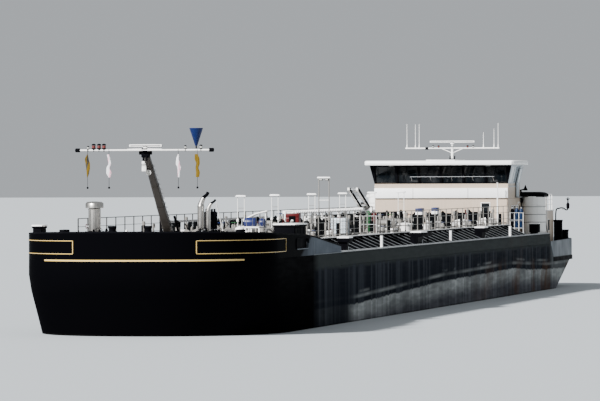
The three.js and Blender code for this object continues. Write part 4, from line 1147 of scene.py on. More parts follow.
@dataclass
class ForeDeck:
    """The raised deck inside the bow wall with the stem fairlead and two pairs of bollards."""

    inset: float = 8.3
    end: float = 1499.7
    rollers: Pair = (-112, 52)
    bollards: Pair = (550, 411)
    goosenecks: tuple[Spot, ...] = (
        (1120, -250, 44), (1420, -120, 52), (520, -60, 34), (1100, 330, 40), (1230, 200, 30),
    )

    def deck(self) -> Shape:
        """Lay the deck and cut the pockets behind the mooring holes."""
        ring = both_sides(DECK_LEVELS[2].bow_side(self.inset) + [(self.end, HALF_BEAM - self.inset)])
        deck = Shape("fore_deck_plating")
        deck.prism(ring, Axis.UP, (MAIN_DECK + SEAT, UPPER_DECK), SIDE_DECK, (DECK, FORE_PAINT))
        pockets = [Shape("pocket").box((1060, side * 532, 574), (1370, side * 572, 611), BLACK) for side in SIDES]
        return deck.without(pockets)

    def add_stem_fairlead(self, deck: Shape) -> None:
        """Add the roller fairlead at the stem."""
        deck.box((195, -140, -2), (245, 90, 10), BLACK, 2)
        roller = [(17, 0), (15, 6), (14, 30), (15, 62), (17, 68), (20, 70), (20, 80)]
        for port in self.rollers:
            deck.turned((220, port, 8), roller, BLACK, 24)
            deck.turned((220, port, 78), [(6, 0), (6, 3), (3, 4)], GALVANISED, 8)
        for port in (-80, -20, 20, 78):
            add_bolts(deck, (220, port, 10), 18, 4, 1.6, 2)

    def add_bollards(self, deck: Shape) -> None:
        """Add a pair of bollards on each shoulder."""
        aft, port = self.bollards
        post = [(16, 0), (14, 3), (14, 51), (19, 54), (19, 61), (17, 64), (0.3, 64.6)]
        for y in (-port, port):
            deck.box((aft - 44, y - 20, -2), (aft + 44, y + 20, 6), BLACK, 2)
            for shift in (-22, 22):
                deck.turned((aft + shift, y, 4), post, BLACK, 24)

    def add_details(self, deck: Shape) -> None:
        """Add the small gear: hatch, pipes' goosenecks and chain pipes."""
        deck.box((1180, -120, -2), (1290, -10, 18), WHITE, 3)
        deck.box((1174, -126, 17), (1296, -4, 26), WHITE, 3)
        for port in (-110, -65, -20):
            deck.box((1168, port - 5, 10), (1178, port + 5, 24), GALVANISED, 1)
        for aft, port, high in self.goosenecks:
            line = [(0, -1), (0, high), (10, high + 12), (24, high + 8), (27, high - 8)]
            deck.tube(smooth_line([(aft + shift, port, up) for shift, up in line], 4), 5, WHITE, 12)
            deck.turned((aft, port, 0), [(11, 0), (11, 3), (6, 4)], WHITE, 16)
        for port in (-250, 250):
            deck.turned((520, port, 0), [(16, -1), (16, 8), (13, 12), (10, 12.5), (9, 4)], BLACK, 20)

    def build(self) -> None:
        """Build the deck as one piece."""
        deck = self.deck()
        deck.origin = (0, 0, UPPER_DECK)
        self.add_stem_fairlead(deck)
        self.add_bollards(deck)
        self.add_details(deck)
        deck.finish_off(Slot.DECK, "fore_deck")


@dataclass
class Trunk:
    """The low box over the tanks with its round hatches, coamings and seams."""

    start: int = 1500
    end: int = 8800
    half: float = 430
    hatch_first: float = 2600
    hatch_step: float = 1000
    hatch_count: int = 7
    hatch_port: float = 320
    hatch_radius: float = 42

    def add_hatch(self, shape: Shape, aft: float, port: float) -> None:
        """Add one tank hatch: coaming, domed lid, dogs, hinge and handle."""
        r, foot = self.hatch_radius, (aft, port, 0)
        shape.turned(foot, [(r - 4, -1), (r - 4, 2), (r - 6, 3), (r - 6, 30), (r - 2, 31), (r - 2, 34)], WHITE, 32)
        shape.turned(foot, [(r, 34.5), (r, 38), (r - 5, 40), (r * 0.6, 44), (r * 0.2, 46), (0.3, 46)], WHITE, 32)
        for a, b in circle(6, r + 1, math.pi / 6):
            out = (aft + a, port + b)
            shape.tube([(*out, 24), (*out, 43)], 1.8, GALVANISED, 8)
            shape.turned((*out, 39), [(3, 0), (3, 3)], GALVANISED, 6)
        shape.box((aft + r - 2, port - 9, 28), (aft + r + 9, port + 9, 38), WHITE, 1)
        grip = [(aft + shift, port, up) for shift, up in ((-12, 44), (-10, 52), (10, 52), (12, 44))]
        shape.tube(grip, 1.6, GALVANISED, 8)

    def build(self) -> None:
        """Build the trunk as one piece."""
        trunk = Shape("trunk_plating", (0, 0, UPPER_DECK))
        a, b, half = self.start, self.end, self.half
        corners = [(a, -half), (b, -half), (b, half), (a, half)]
        # Painted shade: the trunk's side walls take the near-black knee web paint, standing for the shade on them.
        trunk.prism(corners, Axis.UP, (MAIN_DECK + SEAT - UPPER_DECK, 0), KNEE_DARK, (DECK, DECK))
        for aft in range(a + 600, b, 600):
            trunk.box((aft, 4 - half, -1), (aft + 3, half - 4, 0.8), DECK)
        for side in SIDES:
            trunk.box((a + 2, side * (half - 5), -1), (b - 2, side * (half - 1.5), 5), WHITE, 1)
            for i in range(self.hatch_count):
                self.add_hatch(trunk, self.hatch_first + i * self.hatch_step, side * self.hatch_port)
        trunk.finish_off(Slot.DECK, "trunk")


@dataclass(frozen=True)
class Platform:
    """One mooring block of the side deck: the block, its underside, its narrower foot and its painted top."""

    start: float
    end: float
    low: float
    foot: Pair
    top: Pair

    def build(self, deck: Shape, deck_top: float) -> None:
        """Add the block on its foot, its bright top and the cleat behind it.

        Args:
            deck: The piece that gets them.
            deck_top: Height of the side deck.
        """
        near, far = self.foot
        rings = []
        for wider, up in ((0, deck_top - 2), (1, deck_top + 14), (4, self.low + 1)):
            a, b, c, d = near - wider, far + wider, 514 - wider, 552 + wider
            rings.append([(a, c, up), (b, c, up), (b, d, up), (a, d, up)])
        deck.loft(rings, BLACK)
        deck.box((self.start, 508, self.low), (self.end, 566, 614), BLACK, 2, 2)
        deck.box((self.top[0] - 1, 507, 612), (self.top[1] + 1, 567, 620), BRIGHT, 1)
        deck.box((far + 6, 518, deck_top - 1), (far + 44, 550, deck_top + 22), SIDE_DECK, 3, 2)
        aft = self.end + 40
        deck.turned((aft, 530, deck_top - 1), [(13, 0), (13, 3), (9, 5), (8, 22), (11, 24), (11, 27)], BLACK, 18)
        deck.tube([(aft - 16, 530, deck_top + 18), (aft + 16, 530, deck_top + 18)], [2, 3], BLACK)


@dataclass
class SideDeck:
    """One side walkway with its knees, mooring blocks, cleats and marker posts."""

    start: float = 2240
    end: float = 9530
    inner: float = 430.3
    top: float = SIDE_DECK_TOP
    knees: range = range(2330, 8751, 180)
    knee_foot: float = 556
    knee_top: float = 606
    platforms: tuple[Platform, ...] = (
        Platform(2475, 2585, 592, (2490, 2530), (2475, 2585)),
        Platform(4650, 5015, 590, (4625, 4765), (4650, 4845)),
        Platform(6880, 7015, 588, (6870, 6990), (6880, 7015)),
        Platform(9080, 9150, 560, (9086, 9144), (9080, 9150)),
    )
    posts: tuple[float, ...] = (3570, 5810, 8060)

    def add_knee(self, deck: Shape, aft: float) -> None:
        """Add one sloping knee: a web with a flange along its slope, the flange painted lighter grey than the web as a
        painted highlight.
        """
        inner, foot, low, high = self.inner, self.knee_foot, self.top - 2, self.knee_top
        web = [(inner, low), (foot, low), (foot, low + 6), (inner + 8, high), (inner, high)]
        deck.prism(web, Axis.AFT, (aft + 1.5, aft + 5.5), KNEE_DARK)
        edge = [(foot, low + 6), (inner + 8, high), (inner + 8, high - 2.4), (foot, low + 3.6)]
        deck.prism(edge, Axis.AFT, (aft + 0.5, aft + 6), KNEE_EDGE_HIGHLIGHT)

    def make(self) -> Shape:
        """Make the port side deck."""
        deck = Shape("side_walkway")
        deck.box((self.start, self.inner, MAIN_DECK + SEAT), (self.end, HALF_BEAM, self.top), SIDE_DECK, 1)
        deck.box((self.start, HALF_BEAM - 6, self.top - 1), (self.end, HALF_BEAM - 2, self.top + 5), SIDE_DECK, 1)
        for aft in self.knees:
            self.add_knee(deck, aft)
        for platform in self.platforms:
            platform.build(deck, self.top)
        post = [(12, 0), (12, 3), (7, 4), (7, 57), (8, 58), (8, 61), (5, 62)]
        for aft in self.posts:
            deck.turned((aft, 540, self.top - 1), post, BRIGHT, 18)
        return deck

    def build(self) -> None:
        """Build both side decks."""
        build_both(self.make, Slot.DECK, "side_deck")


@dataclass
class TrunkRail:
    """One rail along the trunk: posts in sockets with three tubes."""

    hand: Hand
    posts: range
    paint: Finish
    port: float = 420
    height: float = 115

    def build(self) -> None:
        """Build the rail of this side."""
        rail = Shape(f"trunk_rail_tubes_{self.hand.word}", (0, self.hand.value * self.port, UPPER_DECK))
        high, start, end = self.height, self.posts[0], self.posts[-1]
        post = [(6.5, 0), (6.5, 3), (4, 3.5), (4, 12), (2.7, 12.5), (2.7, high)]
        for aft in self.posts:
            rail.turned((aft, 0, SEAT), post, self.paint, 10)
        for share, radius in ((0.34, 1.2), (0.67, 1.2), (1.0, 2)):
            rail.tube([(aft, 0, high * share) for aft in spread(start, end, 7)], radius, self.paint)
        for aft, lean in ((start, 60), (end, -60)):
            rail.tube([(aft, 0, 0.6 * high), (aft + lean, 0, 2)], 2, self.paint, 8)
        rail.tube([(start, 0, high), (start, 0, 4)], 3.1, self.paint)
        rail.finish_off(Slot.RAIL, f"trunk_rail_{self.hand.word}")


# Fore deck gear


@dataclass
class MooringBlock:
    """A black mooring block with its white top plate, doors and bolts."""

    hand: Hand
    start: float
    end: float
    inner: float
    outer: float
    height: float

    def build(self) -> None:
        """Build the block of this side."""
        block = Shape(f"mooring_block_{self.hand.word}_body", (0, 0, ON_DECK))
        side, start, end, high = self.hand.value, self.start, self.end, self.height
        inner, outer = side * self.inner, side * self.outer
        layers = ((0, 0, 7, BLACK, 3, 2), (4, high - 16, 6, BLACK, 2, 1), (5, high - 7, 0, BRIGHT, 1.5, 1))
        for grow, low, down, paint, round_off, steps in layers:
            corner = (start - grow, inner - side * grow, low)
            block.box(corner, (end + grow, outer + side * grow, high - down), paint, round_off, steps)
        panels = max(1, round((end - start) / 80))
        width = (end - start) / panels
        for k in range(panels):
            near = start + k * width + 6
            for face, out in ((inner, -side), (outer, side)):
                block.box((near, face - out, 14), (near + width - 12, face + out * 1.6, high - 20), BLACK, 1)
        for aft in (start, end):
            block.box((aft - 3, inner - side * 3, -0.2), (aft + 3, outer + side * 3, 4), BLACK, 1)
        block.finish_off(Slot.GEAR, f"mooring_block_{self.hand.word}")


@dataclass
class BowVent:
    """The stainless mushroom ventilator on the starboard fore deck."""

    aft: float = 800
    port: float = -327
    flange: float = 44
    body: float = 29
    head: float = 42
    neck_up: float = 160
    wheel_up: float = 79.7

    def build(self) -> None:
        """Build the ventilator as one piece."""
        vent = Shape("bow_ventilator", (self.aft, self.port, ON_DECK))
        f, b, h, n = self.flange, self.body, self.head, self.neck_up
        low = [(f, 0), (f, 5), (b + 4, 6), (b, 10), (b, 52), (b + 1, 53), (b + 1, 56), (b, 57)]
        neck = [(b, 56), (b, n - 4), (b + 2, n - 2), (b + 2, n + 1), (b - 4, n + 2)]
        cap = [(h - 3, n + 4), (h, n + 5), (h, n + 25), (h - 2, n + 28), (h * 0.8, n + 33), (h * 0.2, n + 35)]
        for profile in (low, neck, [*cap, (0.3, n + 35)]):
            vent.turned(CENTRE, profile, STEEL, 40)
        vent.turned(CENTRE, [(b - 3, n + 1), (b - 3, n + 7)], BLACK, 32)
        add_bolts(vent, (0, 0, 4.7), f - 5, 12, 2, 3)
        for aft, port in circle(4, b + 1, 0.6):
            vent.tube([(aft, port, 53.7), (aft, port, n + 5.7)], 1.4, STEEL, 8)
        wheel = (0, -b - 10, self.wheel_up)
        vent.tube([(0, 2 - b, self.wheel_up), wheel], 2, GALVANISED, 8)
        vent.ring(wheel, 11, 1.4, FIRE_RED, ACROSS, 16)
        vent.finish_off(Slot.STAINLESS, "bow_vent")


@dataclass(frozen=True)
class ExhaustPipe:
    """One exhaust: straight below, bent to port above, with a thinner black tail."""

    aft: float
    port: float
    radius: float
    bend: float
    top: float

    def build(self, shape: Shape) -> None:
        """Add the pipe to the piece."""
        foot, r, bend = (self.aft, self.port), self.radius, self.bend
        shape.tube([(*foot, 0), (*foot, bend * 0.5), (*foot, bend - 14)], r, STEEL, 28)
        shape.turned((*foot, 0), [(r + 6, 0), (r + 6, 4), (r + 1, 5), (r + 1, 10)], STEEL, 28)
        for share in (0.3, 0.62, 0.9):
            shape.turned((*foot, bend * share), [(r + 0.8, 0), (r + 1.2, 1), (r + 0.8, 4)], STEEL, 28)
        rise = self.top - bend
        line = [(0, bend - 15), (3, bend), (14, bend + rise * 0.45), (29, bend + rise * 0.72), (35, self.top - 4)]
        curve = smooth_line([(self.aft, self.port + out, up) for out, up in line])
        neck = [mix_numbers(r, r * 0.5, min(1.0, 1.6 * k / len(curve))) for k in range(len(curve))]
        half = len(curve) // 2
        shape.tube(curve[: half + 1], neck[: half + 1], STEEL, 24)
        shape.tube(curve[half:], [size * 0.94 for size in neck[half:]], BLACK, 20)


@dataclass
class Exhausts:
    """Two stainless exhaust pipes and the two pairs of dark silencers behind them."""

    pipes: tuple[ExhaustPipe, ...] = (ExhaustPipe(900, 154, 16, 186, 240), ExhaustPipe(885, 192, 11, 164, 206))
    silencer_ports: Pair = (165, 191)
    silencer_top: float = 158
    base: tuple[float, ...] = (860, 1060, 128, 222)

    def build(self) -> None:
        """Build the pipes and the silencers as one piece."""
        shape = Shape("exhaust_pipes", (0, 0, ON_DECK))
        start, end, inner, outer = self.base
        shape.box((start, inner, 0), (end, outer, 8), BLACK, 2)
        top = self.silencer_top
        drum = [(12.9, 6), (12.9, top - 20), (11, top - 14), (5, top - 12), (5, top)]
        for port in self.silencer_ports:
            for aft in (975, 1035):
                shape.turned((aft, port, 0), drum, BLACK)
                shape.turned((aft, port, 0), [(13.6, 60), (13.6, 64)], GALVANISED)
            shape.box((972, port - 4, top * 0.4), (1038, port + 4, top * 0.5), BLACK, 1)
        for pipe in self.pipes:
            pipe.build(shape)
        for aft in (start + 8, end - 8):
            for port in (inner + 8, outer - 8):
                shape.turned((aft, port, 7.5), [(3, 0), (3, 3)], GALVANISED, 6)
        shape.finish_off(Slot.STAINLESS, "exhausts")


@dataclass
class Windlass:
    """An anchor windlass: bedplate, cheeks, chain wheel, rope drum, warping end and brake wheels."""

    aft: float = 640
    port: float = 250
    shaft_up: float = 42

    def make(self) -> Shape:
        """Make the port windlass."""
        shape = Shape("anchor_windlass", (self.aft, self.port, ON_DECK))
        up = self.shaft_up
        shape.box((-60, -75, 0), (60, 75, 7), BLACK, 2)
        cheek = [(-30, 5), (30, 5), (22, 40), (12, 60), (-12, 60), (-22, 40)]
        for side in (-58, 0, 58):
            shape.prism(cheek, Axis.PORT, (side - 4, side + 4), BLACK)
            shape.turned((0, side - 7, up), [(13, 0), (13, 14)], BLACK, 20, ACROSS)
        shape.turned((0, -82, up), [(9, 0), (9, 164)], GALVANISED, 20, ACROSS)
        coils = [(15 + (k % 2) * 2, 5 + k * 1.8) for k in range(12)]
        turned = (
            (-46, [(30, 0), (30, 4), (20, 8), (17, 16), (20, 24), (30, 28), (30, 32)], 24),
            (14, [(26, 0), (26, 3), (15, 4), *coils, (15, 28), (26, 29), (26, 32)], 28),
            (64, [(10, 0), (19, 2), (14, 7), (13, 11), (18, 16), (18, 18), (9, 19)], 24),
        )
        for port, profile, sides in turned:
            shape.turned((0, port, up), profile, BLACK, sides, ACROSS)
        for side in (-30, 30):
            shape.tube([(40, side, 6), (48, side, 66)], 2.5, BLACK)
            shape.ring((48, side, 66), 14, 1.5, BLACK, (0.6, 0, 1), 18)
        shape.box((16, -12, 6), (56, 12, 34), SPAR, 3, 2)
        chain = smooth_line([(-22, -30, up + 20), (-60, -30, 40), (-110, -16, 8), (-120, 0, 4)], 5)
        for k, (a, b) in enumerate(zip(chain, chain[1:])):
            middle = tuple((p + q) / 2 for p, q in zip(a, b))
            shape.ring(middle, 4.6, 1.5, GALVANISED, (0.3, 1, 0.2) if k % 2 else (0.2, 0.1, 1), 12)
        return shape

    def build(self) -> None:
        """Build both windlasses."""
        build_both(self.make, Slot.GEAR, "windlass")


@dataclass(frozen=True)
class LimpFlag:
    """A flag that hangs gathered in folds from its halyard, with the halyard's weight below it.

    "left" and "right" are how far the folds reach to starboard and port, from the flag's head to its foot.
    """

    name: str
    port: float
    cloth: Finish
    second: Finish
    left: tuple[float, ...]
    right: tuple[float, ...]
    turn: float
    aft: float = 393
    top: float = 1034.7
    drop: float = 14
    hoist: float = 104
    weight: float = 165
    across: int = 56
    down: int = 40

    @staticmethod
    def at_share(values: Sequence[float], share: float) -> float:
        """Read a value between evenly spread ones, rounded off."""
        place = min(share, 0.9999) * (len(values) - 1)
        index = int(place)
        rest = (1 - math.cos(math.pi * (place - index))) / 2
        return mix_numbers(values[index], values[index + 1], rest)

    def fold(self, share: float, down: float) -> Pair:
        """Give the fold's place across the flag.

        Args:
            share: From the halyard, 0, to the loose edge, 1.
            down: From the head, 0, to the foot, 1.

        Returns:
            Distance forward and to port of the halyard.
        """
        left, right = self.at_share(self.left, down), self.at_share(self.right, down)
        side = self.at_share((0, -left, right, -left * 0.5, right * 0.6), share)
        ripple = 0.5 * math.sin(share * 26 + down * 6 + self.turn)
        return 1.2 + 3.6 * share + ripple * min(1.0, share * 4), side

    def build_cloth(self) -> bpy.types.Object:
        """Build the cloth as one sheet of small faces."""
        flag = Shape(f"flag_cloth_{self.name}", (self.aft, self.port, self.top - self.drop))
        across, down = self.across, self.down
        rows = []
        for j in range(down + 1):
            folds = [self.fold(i / across, j / down) for i in range(across + 1)]
            spots = [(-ahead, side, -self.hoist * j / down) for ahead, side in folds]
            rows.append([flag.mesh.verts.new(flag.at(spot)) for spot in spots])
        plain, marked = [], []
        for j in range(down):
            for i in range(across):
                face = flag.mesh.faces.new((rows[j][i], rows[j][i + 1], rows[j + 1][i + 1], rows[j + 1][i]))
                band = (i / across + 0.5 * j / down + 0.1 * self.turn) % 0.5
                (marked if band < 0.2 else plain).append(face)
        flag.dress_faces(plain, self.cloth)
        flag.dress_faces(marked, self.second)
        return flag.finish_off(Slot.FLAG, f"flag_{self.name}", body=Body.FOREMAST)

    def build(self) -> None:
        line = Shape(f"flag_halyard_{self.name}", (self.aft, self.port, self.top))
        line.tube([(0, 0, 1), (0, 0, -60), (0, 0, 4 - self.weight)], 0.8, BLACK, 6)
        line.turned((0, 0, -self.weight - 5), [(1, 0), (4, 1.5), (5, 4.5), (4, 8), (1, 9.8)], BLACK, 16)
        halyard = line.finish_off(Slot.GEAR, body=Body.FOREMAST)
        cloth = self.build_cloth()


@dataclass
class Foremast:
    """The raked folding mast with its foot, head gear, yard, lamps, scanner, cone and flags."""

    foot: Spot = (925, 0, 645)
    head: Spot = (420, 0, 1030)
    corner: float = 4
    yard_aft: float = 393
    yard_up: float = 1040
    yard_half: float = 322
    lamps: tuple[Spot, ...] = (
        (-262, 6, 20), (-236, 10, 30), (-211, 10, 30), (-188, 10, 30), (262, 7, 24), (190, 6, 22)
    )
    flags: tuple[LimpFlag, ...] = (
        LimpFlag("yellow_starboard", -265, YELLOW_CLOTH, BLACK_CLOTH, (3, 12, 9, 6, 4, 2), (3, 6, 12, 12, 8, 2), 1.0),
        LimpFlag("pale_starboard", -165, PALE_CLOTH, PINK_CLOTH, (9, 5, 2, 11, 12, 3), (2, 6, 10, 4, 11, 7), 2.3),
        LimpFlag("pale_port", 157, PALE_CLOTH, PINK_CLOTH, (2, 9, 11, 4, 3, 2), (4, 3, 7, 11, 7, 6), 4.1),
        LimpFlag("yellow_port", 245, YELLOW_CLOTH, YELLOW_CLOTH, (12, 12, 5, 8, 6, 7), (3, 11, 12, 6, 12, 9), 5.6),
    )

    def along(self, share: float, side: float = 0.0, out: float = 0.0) -> Spot:
        """Give a place on the spar.

        Args:
            share: From the foot, 0, to the head, 1.
            side: Distance to port.
            out: Distance square to the spar, forward and up.

        Returns:
            The place.
        """
        run = Vector(self.head) - Vector(self.foot)
        normal = Vector((run.z, 0, -run.x)).normalized()
        place = Vector(self.foot) + run * share - normal * out
        return (place.x, side, place.z)

    @staticmethod
    def half_width(share: float) -> float:
        """Give half the spar's width at a share of its length."""
        return mix_numbers(20, 13, share)

    def spar_ring(self, share: float, grow: float = 0.0) -> list[Spot]:
        """Give the spar's eight-cornered section at a share of its length."""
        wide, deep, cut = self.half_width(share) + grow, mix_numbers(17, 11, share) + grow, self.corner
        half = [(-wide, cut - deep), (-wide, deep - cut), (cut - wide, deep), (wide - cut, deep)]
        return [self.along(share, side, out) for side, out in half + [(-side, -out) for side, out in half]]

    def build_foot(self) -> None:
        """Build the mast's foot: plate, cheeks, pin, rest post and strut."""
        aft, _, up = self.foot
        foot = Shape("foremast_foot", (aft, 0, ON_DECK))
        foot.box((-90, -52, 0), (84, 52, 6), BLACK, 2)
        cheek = [(-26, 4), (26, 4), (24, 40), (14, 58), (-14, 58), (-24, 40)]
        for side in SIDES:
            foot.prism(cheek, Axis.PORT, (side * 30 - 4, side * 30 + 4), BLACK)
            foot.prism([(side * 30, 4), (side * 30, 44), (side * 50, 4)], Axis.AFT, (-2, 2), BLACK)
        pin = [(9, 0), (9, 4), (6.9, 4.1), (6.9, 71.9), (9, 72), (9, 76)]
        foot.turned((0, -38, up - ON_DECK), pin, GALVANISED, 20, ACROSS)
        for low, top in (((5, -40, 4), (5, -40, 124)), ((65, 40, 7), (-75, 40, 124))):
            foot.tube([low, top], 5.4, BLACK, 12)
            foot.turned(top, [(6.5, -4), (6.5, 0), (3, 1)], BLACK, 12)
        for place in (-80, 74):
            for port in (-44, 44):
                foot.turned((place, port, 5.5), [(3, 0), (3, 3)], GALVANISED, 6)
        foot.finish_off(Slot.GEAR, "mast_foot")

    def build_spar(self) -> None:
        """Build the spar with its eye, bands, rungs, cable, floodlight and head gear."""
        spar = Shape("foremast_spar")
        spar.loft([self.spar_ring(share) for share in (0.02, 0.3, 0.6, 1)], SPAR)
        spar.turned((self.foot[0], -24, self.foot[2]), [(20, 0), (20, 48)], SPAR, 28, ACROSS)
        for share in (0.12, 0.36, 0.6, 0.82):
            spar.loft([self.spar_ring(share, 1.6), self.spar_ring(share + 0.014, 1.6)], SPAR)
        for k in range(14):
            share = 0.12 + 0.055 * k
            wide = self.half_width(share)
            rung = ((0, wide - 1), (0, wide + 10), (0.012, wide + 10), (0.012, wide - 1))
            spar.tube([self.along(share + step, side) for step, side in rung], 1.2, GALVANISED, 6)
        cable = [self.along(share, -self.half_width(share) - 1.5, 3) for share in (0.06, 0.3, 0.6, 0.95)]
        spar.tube(cable, 2.2, BLACK, 8)
        x, _, z = self.head
        spar.box((x - 16, -18, z - 24), (x + 16, 18, z + 10), BLACK, 3, 2)
        sheave = [(9, 0), (9, 5), (6, 6), (9, 7), (9, 11)]
        for side in SIDES:
            spar.turned((x - 4, side * 18, z - 2), sheave, BLACK, 20, (0, side, 0))
            spar.box((x - 20, side * 8 - 3, z - 40), (x - 8, side * 8 + 3, z - 14), BLACK, 1)
        x, y, z = self.along(0.79, -6, 12)
        spar.turned((x, y, z), [(5, 0), (9, 3), (11, 12), (12, 14), (12, 16)], WHITE, 20, (-1, 0, -0.1))
        spar.turned((x - 15, y, z - 1.6), [(10.4, 0), (10.4, 1.5), (5, 3)], LENS, 20, (-1, 0, -0.1))
        x, _, z = self.along(0.86, -20, 8)
        spar.box((x - 7, -32, z - 26), (x + 7, -12, z + 20), RIM, 2, 2)
        spar.finish_off(Slot.MAST, "foremast", body=Body.FOREMAST)

    def build_yard(self) -> None:
        """Build the yard with its tips, brackets, lamps and halyard eyes."""
        yard = Shape("foremast_yard_tube", (self.yard_aft, 0, self.yard_up))
        half = self.yard_half
        yard.tube([(0, port, 0) for port in (20 - half, -160, 0, 160, half - 20)], 3.8, RIM, 16)
        yard.box((-3, -14, -8), (10.7, 14, 8), BLACK, 2)
        for side in SIDES:
            tip = [(5.4, 0), (9, 1), (9, 20), (5, 22)]
            yard.turned((0, side * (half - 22), 0), tip, BLACK, 20, (0, side, 0))
            yard.tube([(2, side * 12, 6), (1, side * 80, 4)], 1.6, WHITE, 8)
        for port, radius, height in self.lamps:
            add_lamp(yard, (0, port, 3), radius, height - 3, LAMP_RED if radius == 10 else LENS)
            yard.ring((0, port, 0), 6, 1, BLACK, ACROSS, 12)
        for flag in self.flags:
            yard.ring((0, flag.port, -1), 5.6, 0.8, GALVANISED, ACROSS, 12)
        yard.finish_off(Slot.RAIL, "foremast_yard", body=Body.FOREMAST)

    def build_cone(self) -> None:
        """Build the blue cone that stands on its point."""
        cone = Shape("blue_signal_cone", (self.yard_aft, 240, self.yard_up + 5.3))
        cone.turned(CENTRE, [(3, 0), (3, 20)], BLACK, 12)
        cone.turned(CENTRE, [(3.5, 13), (5, 14), (30.4, 91), (31, 92), (31, 94), (29, 94)], SIGNAL_BLUE, 32)
        for low, high in zip(circle(4, 5), circle(4, 30.6)):
            cone.tube([(*low, 15), (*high, 92)], 0.7, SIGNAL_BLUE, 6)
        cone.finish_off(Slot.SIGNAL, "signal_cone", body=Body.FOREMAST)

    def build(self) -> None:
        """Build the mast's pieces, from the foot to the flags."""
        self.build_foot()
        self.build_spar()
        self.build_yard()
        Scanner("foremast", self.head[0], self.head[2] + 16.3, 76, 6, Body.FORE_SCANNER).build()
        self.build_cone()
        for flag in self.flags:
            flag.build()


@dataclass
class Scanner:
    """A turning radar bar on its gearbox."""

    name: str
    aft: float
    up: float
    half: float
    foot: float
    body: Body

    def build(self) -> None:
        """Build the scanner as one piece."""
        bar = Shape(f"{self.name}_radar_bar", (self.aft, 0, self.up))
        half, middle = self.half, 14
        bar.tube([(0, 0, -self.foot), CENTRE], 4.8, WHITE, 12)
        bar.turned((0, 0, -1), [(10, 0), (12, 2), (12, 8), (9, 10)], WHITE)
        section = [(-7, 9), (-7, 18), (-4, 20), (5, 20), (7, 17), (7, 10), (5, 8), (-5, 8)]
        sizes = ((-half, 0.7), (2 - half, 0.95), (-half * 0.5, 1), (half * 0.5, 1), (half - 2, 0.95), (half, 0.7))
        rings = [[(aft * size, port, middle + (up - middle) * size) for aft, up in section] for port, size in sizes]
        bar.loft(rings, WHITE, (BLACK, BLACK))
        bar.box((-7.6, 6 - half, 12), (-6.6, half - 6, 15), BLACK)
        bar.box((-9, -10, 7), (9, 10, 11), BLACK, 1)
        bar.finish_off(Slot.HOUSE, f"{self.name}_scanner", body=self.body)


# Cargo gear on the trunk


@dataclass
class CargoPiping:
    """The cargo lines along the trunk, the manifolds across it and their valves."""

    start: int = 1900
    end: int = 8500
    up: float = 34
    lanes: tuple[tuple[float, Finish], ...] = (
        (-126, FIRE_RED), (-84, SIGNAL_BLUE), (-42, DRUM_GREEN), (50, FIRE_RED),
    )
    radius: float = 11
    feet: range = range(1950, 8500, 540)
    manifolds: tuple[float, ...] = (4800, 4880, 4960)
    reach: float = 372
    tray: tuple[float, ...] = (4760, 5000, 325, 398)

    def add_lanes(self, shape: Shape) -> None:
        """Add the lines with flanges, valves and feet."""
        for lane, (port, paint) in enumerate(self.lanes):
            shape.tube([(aft, port, self.up) for aft in spread(self.start, self.end, 13)], self.radius, PIPE, 16)
            for k in range(9):
                add_flange(shape, (self.start + 240 + lane * 60 + k * 760, port, self.up), 18, LENGTHWISE)
            for k in range(3):
                add_wheel_valve(shape, (2400 + lane * 130 + k * 2300, port, self.up), 15, paint)
            for aft in (self.start, self.end):
                shape.turned((aft - 3, port, self.up), [(18, 0), (18, 6)], PIPE, 20, LENGTHWISE)
        for aft in self.feet:
            for near, far in ((34, 66), (-142, -26)):
                shape.box((aft - 5, near, SEAT), (aft + 5, far, 5), PIPE, 1)
                shape.box((aft - 4, near + 3, 30), (aft + 4, far - 3, 35), PIPE, 1)
                for port in (near + 5, far - 5):
                    shape.box((aft - 3, port - 2.5, 3), (aft + 3, port + 2.5, 32), PIPE)

    def add_manifold(self, shape: Shape, aft: float) -> None:
        """Add one line across the trunk with its reducers, valves and blanks."""
        up = self.up + 20
        shape.tube([(aft, port, up) for port in (-self.reach, -180, 0, 180, self.reach)], 13, PIPE, 18)
        blank = [(24, 0), (24, 9), (22, 9.5), (22, 11), (24, 11.5), (24, 22)]
        for side in SIDES:
            out = (0, side, 0)
            shape.turned((aft, side * (self.reach - 16), up), blank, PIPE, 24, out)
            for a, b in circle(8, 20):
                bolt = (aft + a, side * (self.reach - 19), up + b)
                shape.turned(bolt, [(1.5, 0), (1.5, 29)], GALVANISED, 6, out)
            add_flange(shape, (aft, side * 270, up), 22, ACROSS)
            add_wheel_valve(shape, (aft, side * 225, up), 17, FIRE_RED if side > 0 else SIGNAL_BLUE)
            shape.box((aft - 4, side * 300 - 12, SEAT), (aft + 4, side * 300 + 12, up - 8), PIPE, 1)
        shape.tube([(aft, -42, self.up), (aft, -42, self.up + 34)], 12, PIPE, 16)
        add_flange(shape, (aft, -42, self.up + 40), 18, UPRIGHT)
        shape.turned((aft, -42, self.up + 43), [(16, 0), (16, 5), (6, 12), (3, 17)], PIPE, 18)

    def add_trays(self, shape: Shape) -> None:
        """Add the drip trays under the manifolds' ends."""
        a, b, near, far = self.tray
        for side in SIDES:
            c, d, thick = side * near, side * far, side * 4
            shape.box((a, c, 5), (b, d, 9), WHITE, 1)
            sides = ((a, a + 4, c, d), (b - 4, b, c, d), (a, b, c, c + thick), (a, b, d - thick, d))
            for start, end, inner, outer in sides:
                shape.box((start, inner, 0.5), (end, outer, 24), WHITE)

    def build(self) -> None:
        """Build the piping as one piece."""
        shape = Shape("cargo_lines", (0, 0, UPPER_DECK))
        self.add_lanes(shape)
        for aft in self.manifolds:
            self.add_manifold(shape, aft)
        self.add_trays(shape)
        shape.finish_off(Slot.PIPE, "cargo_piping")


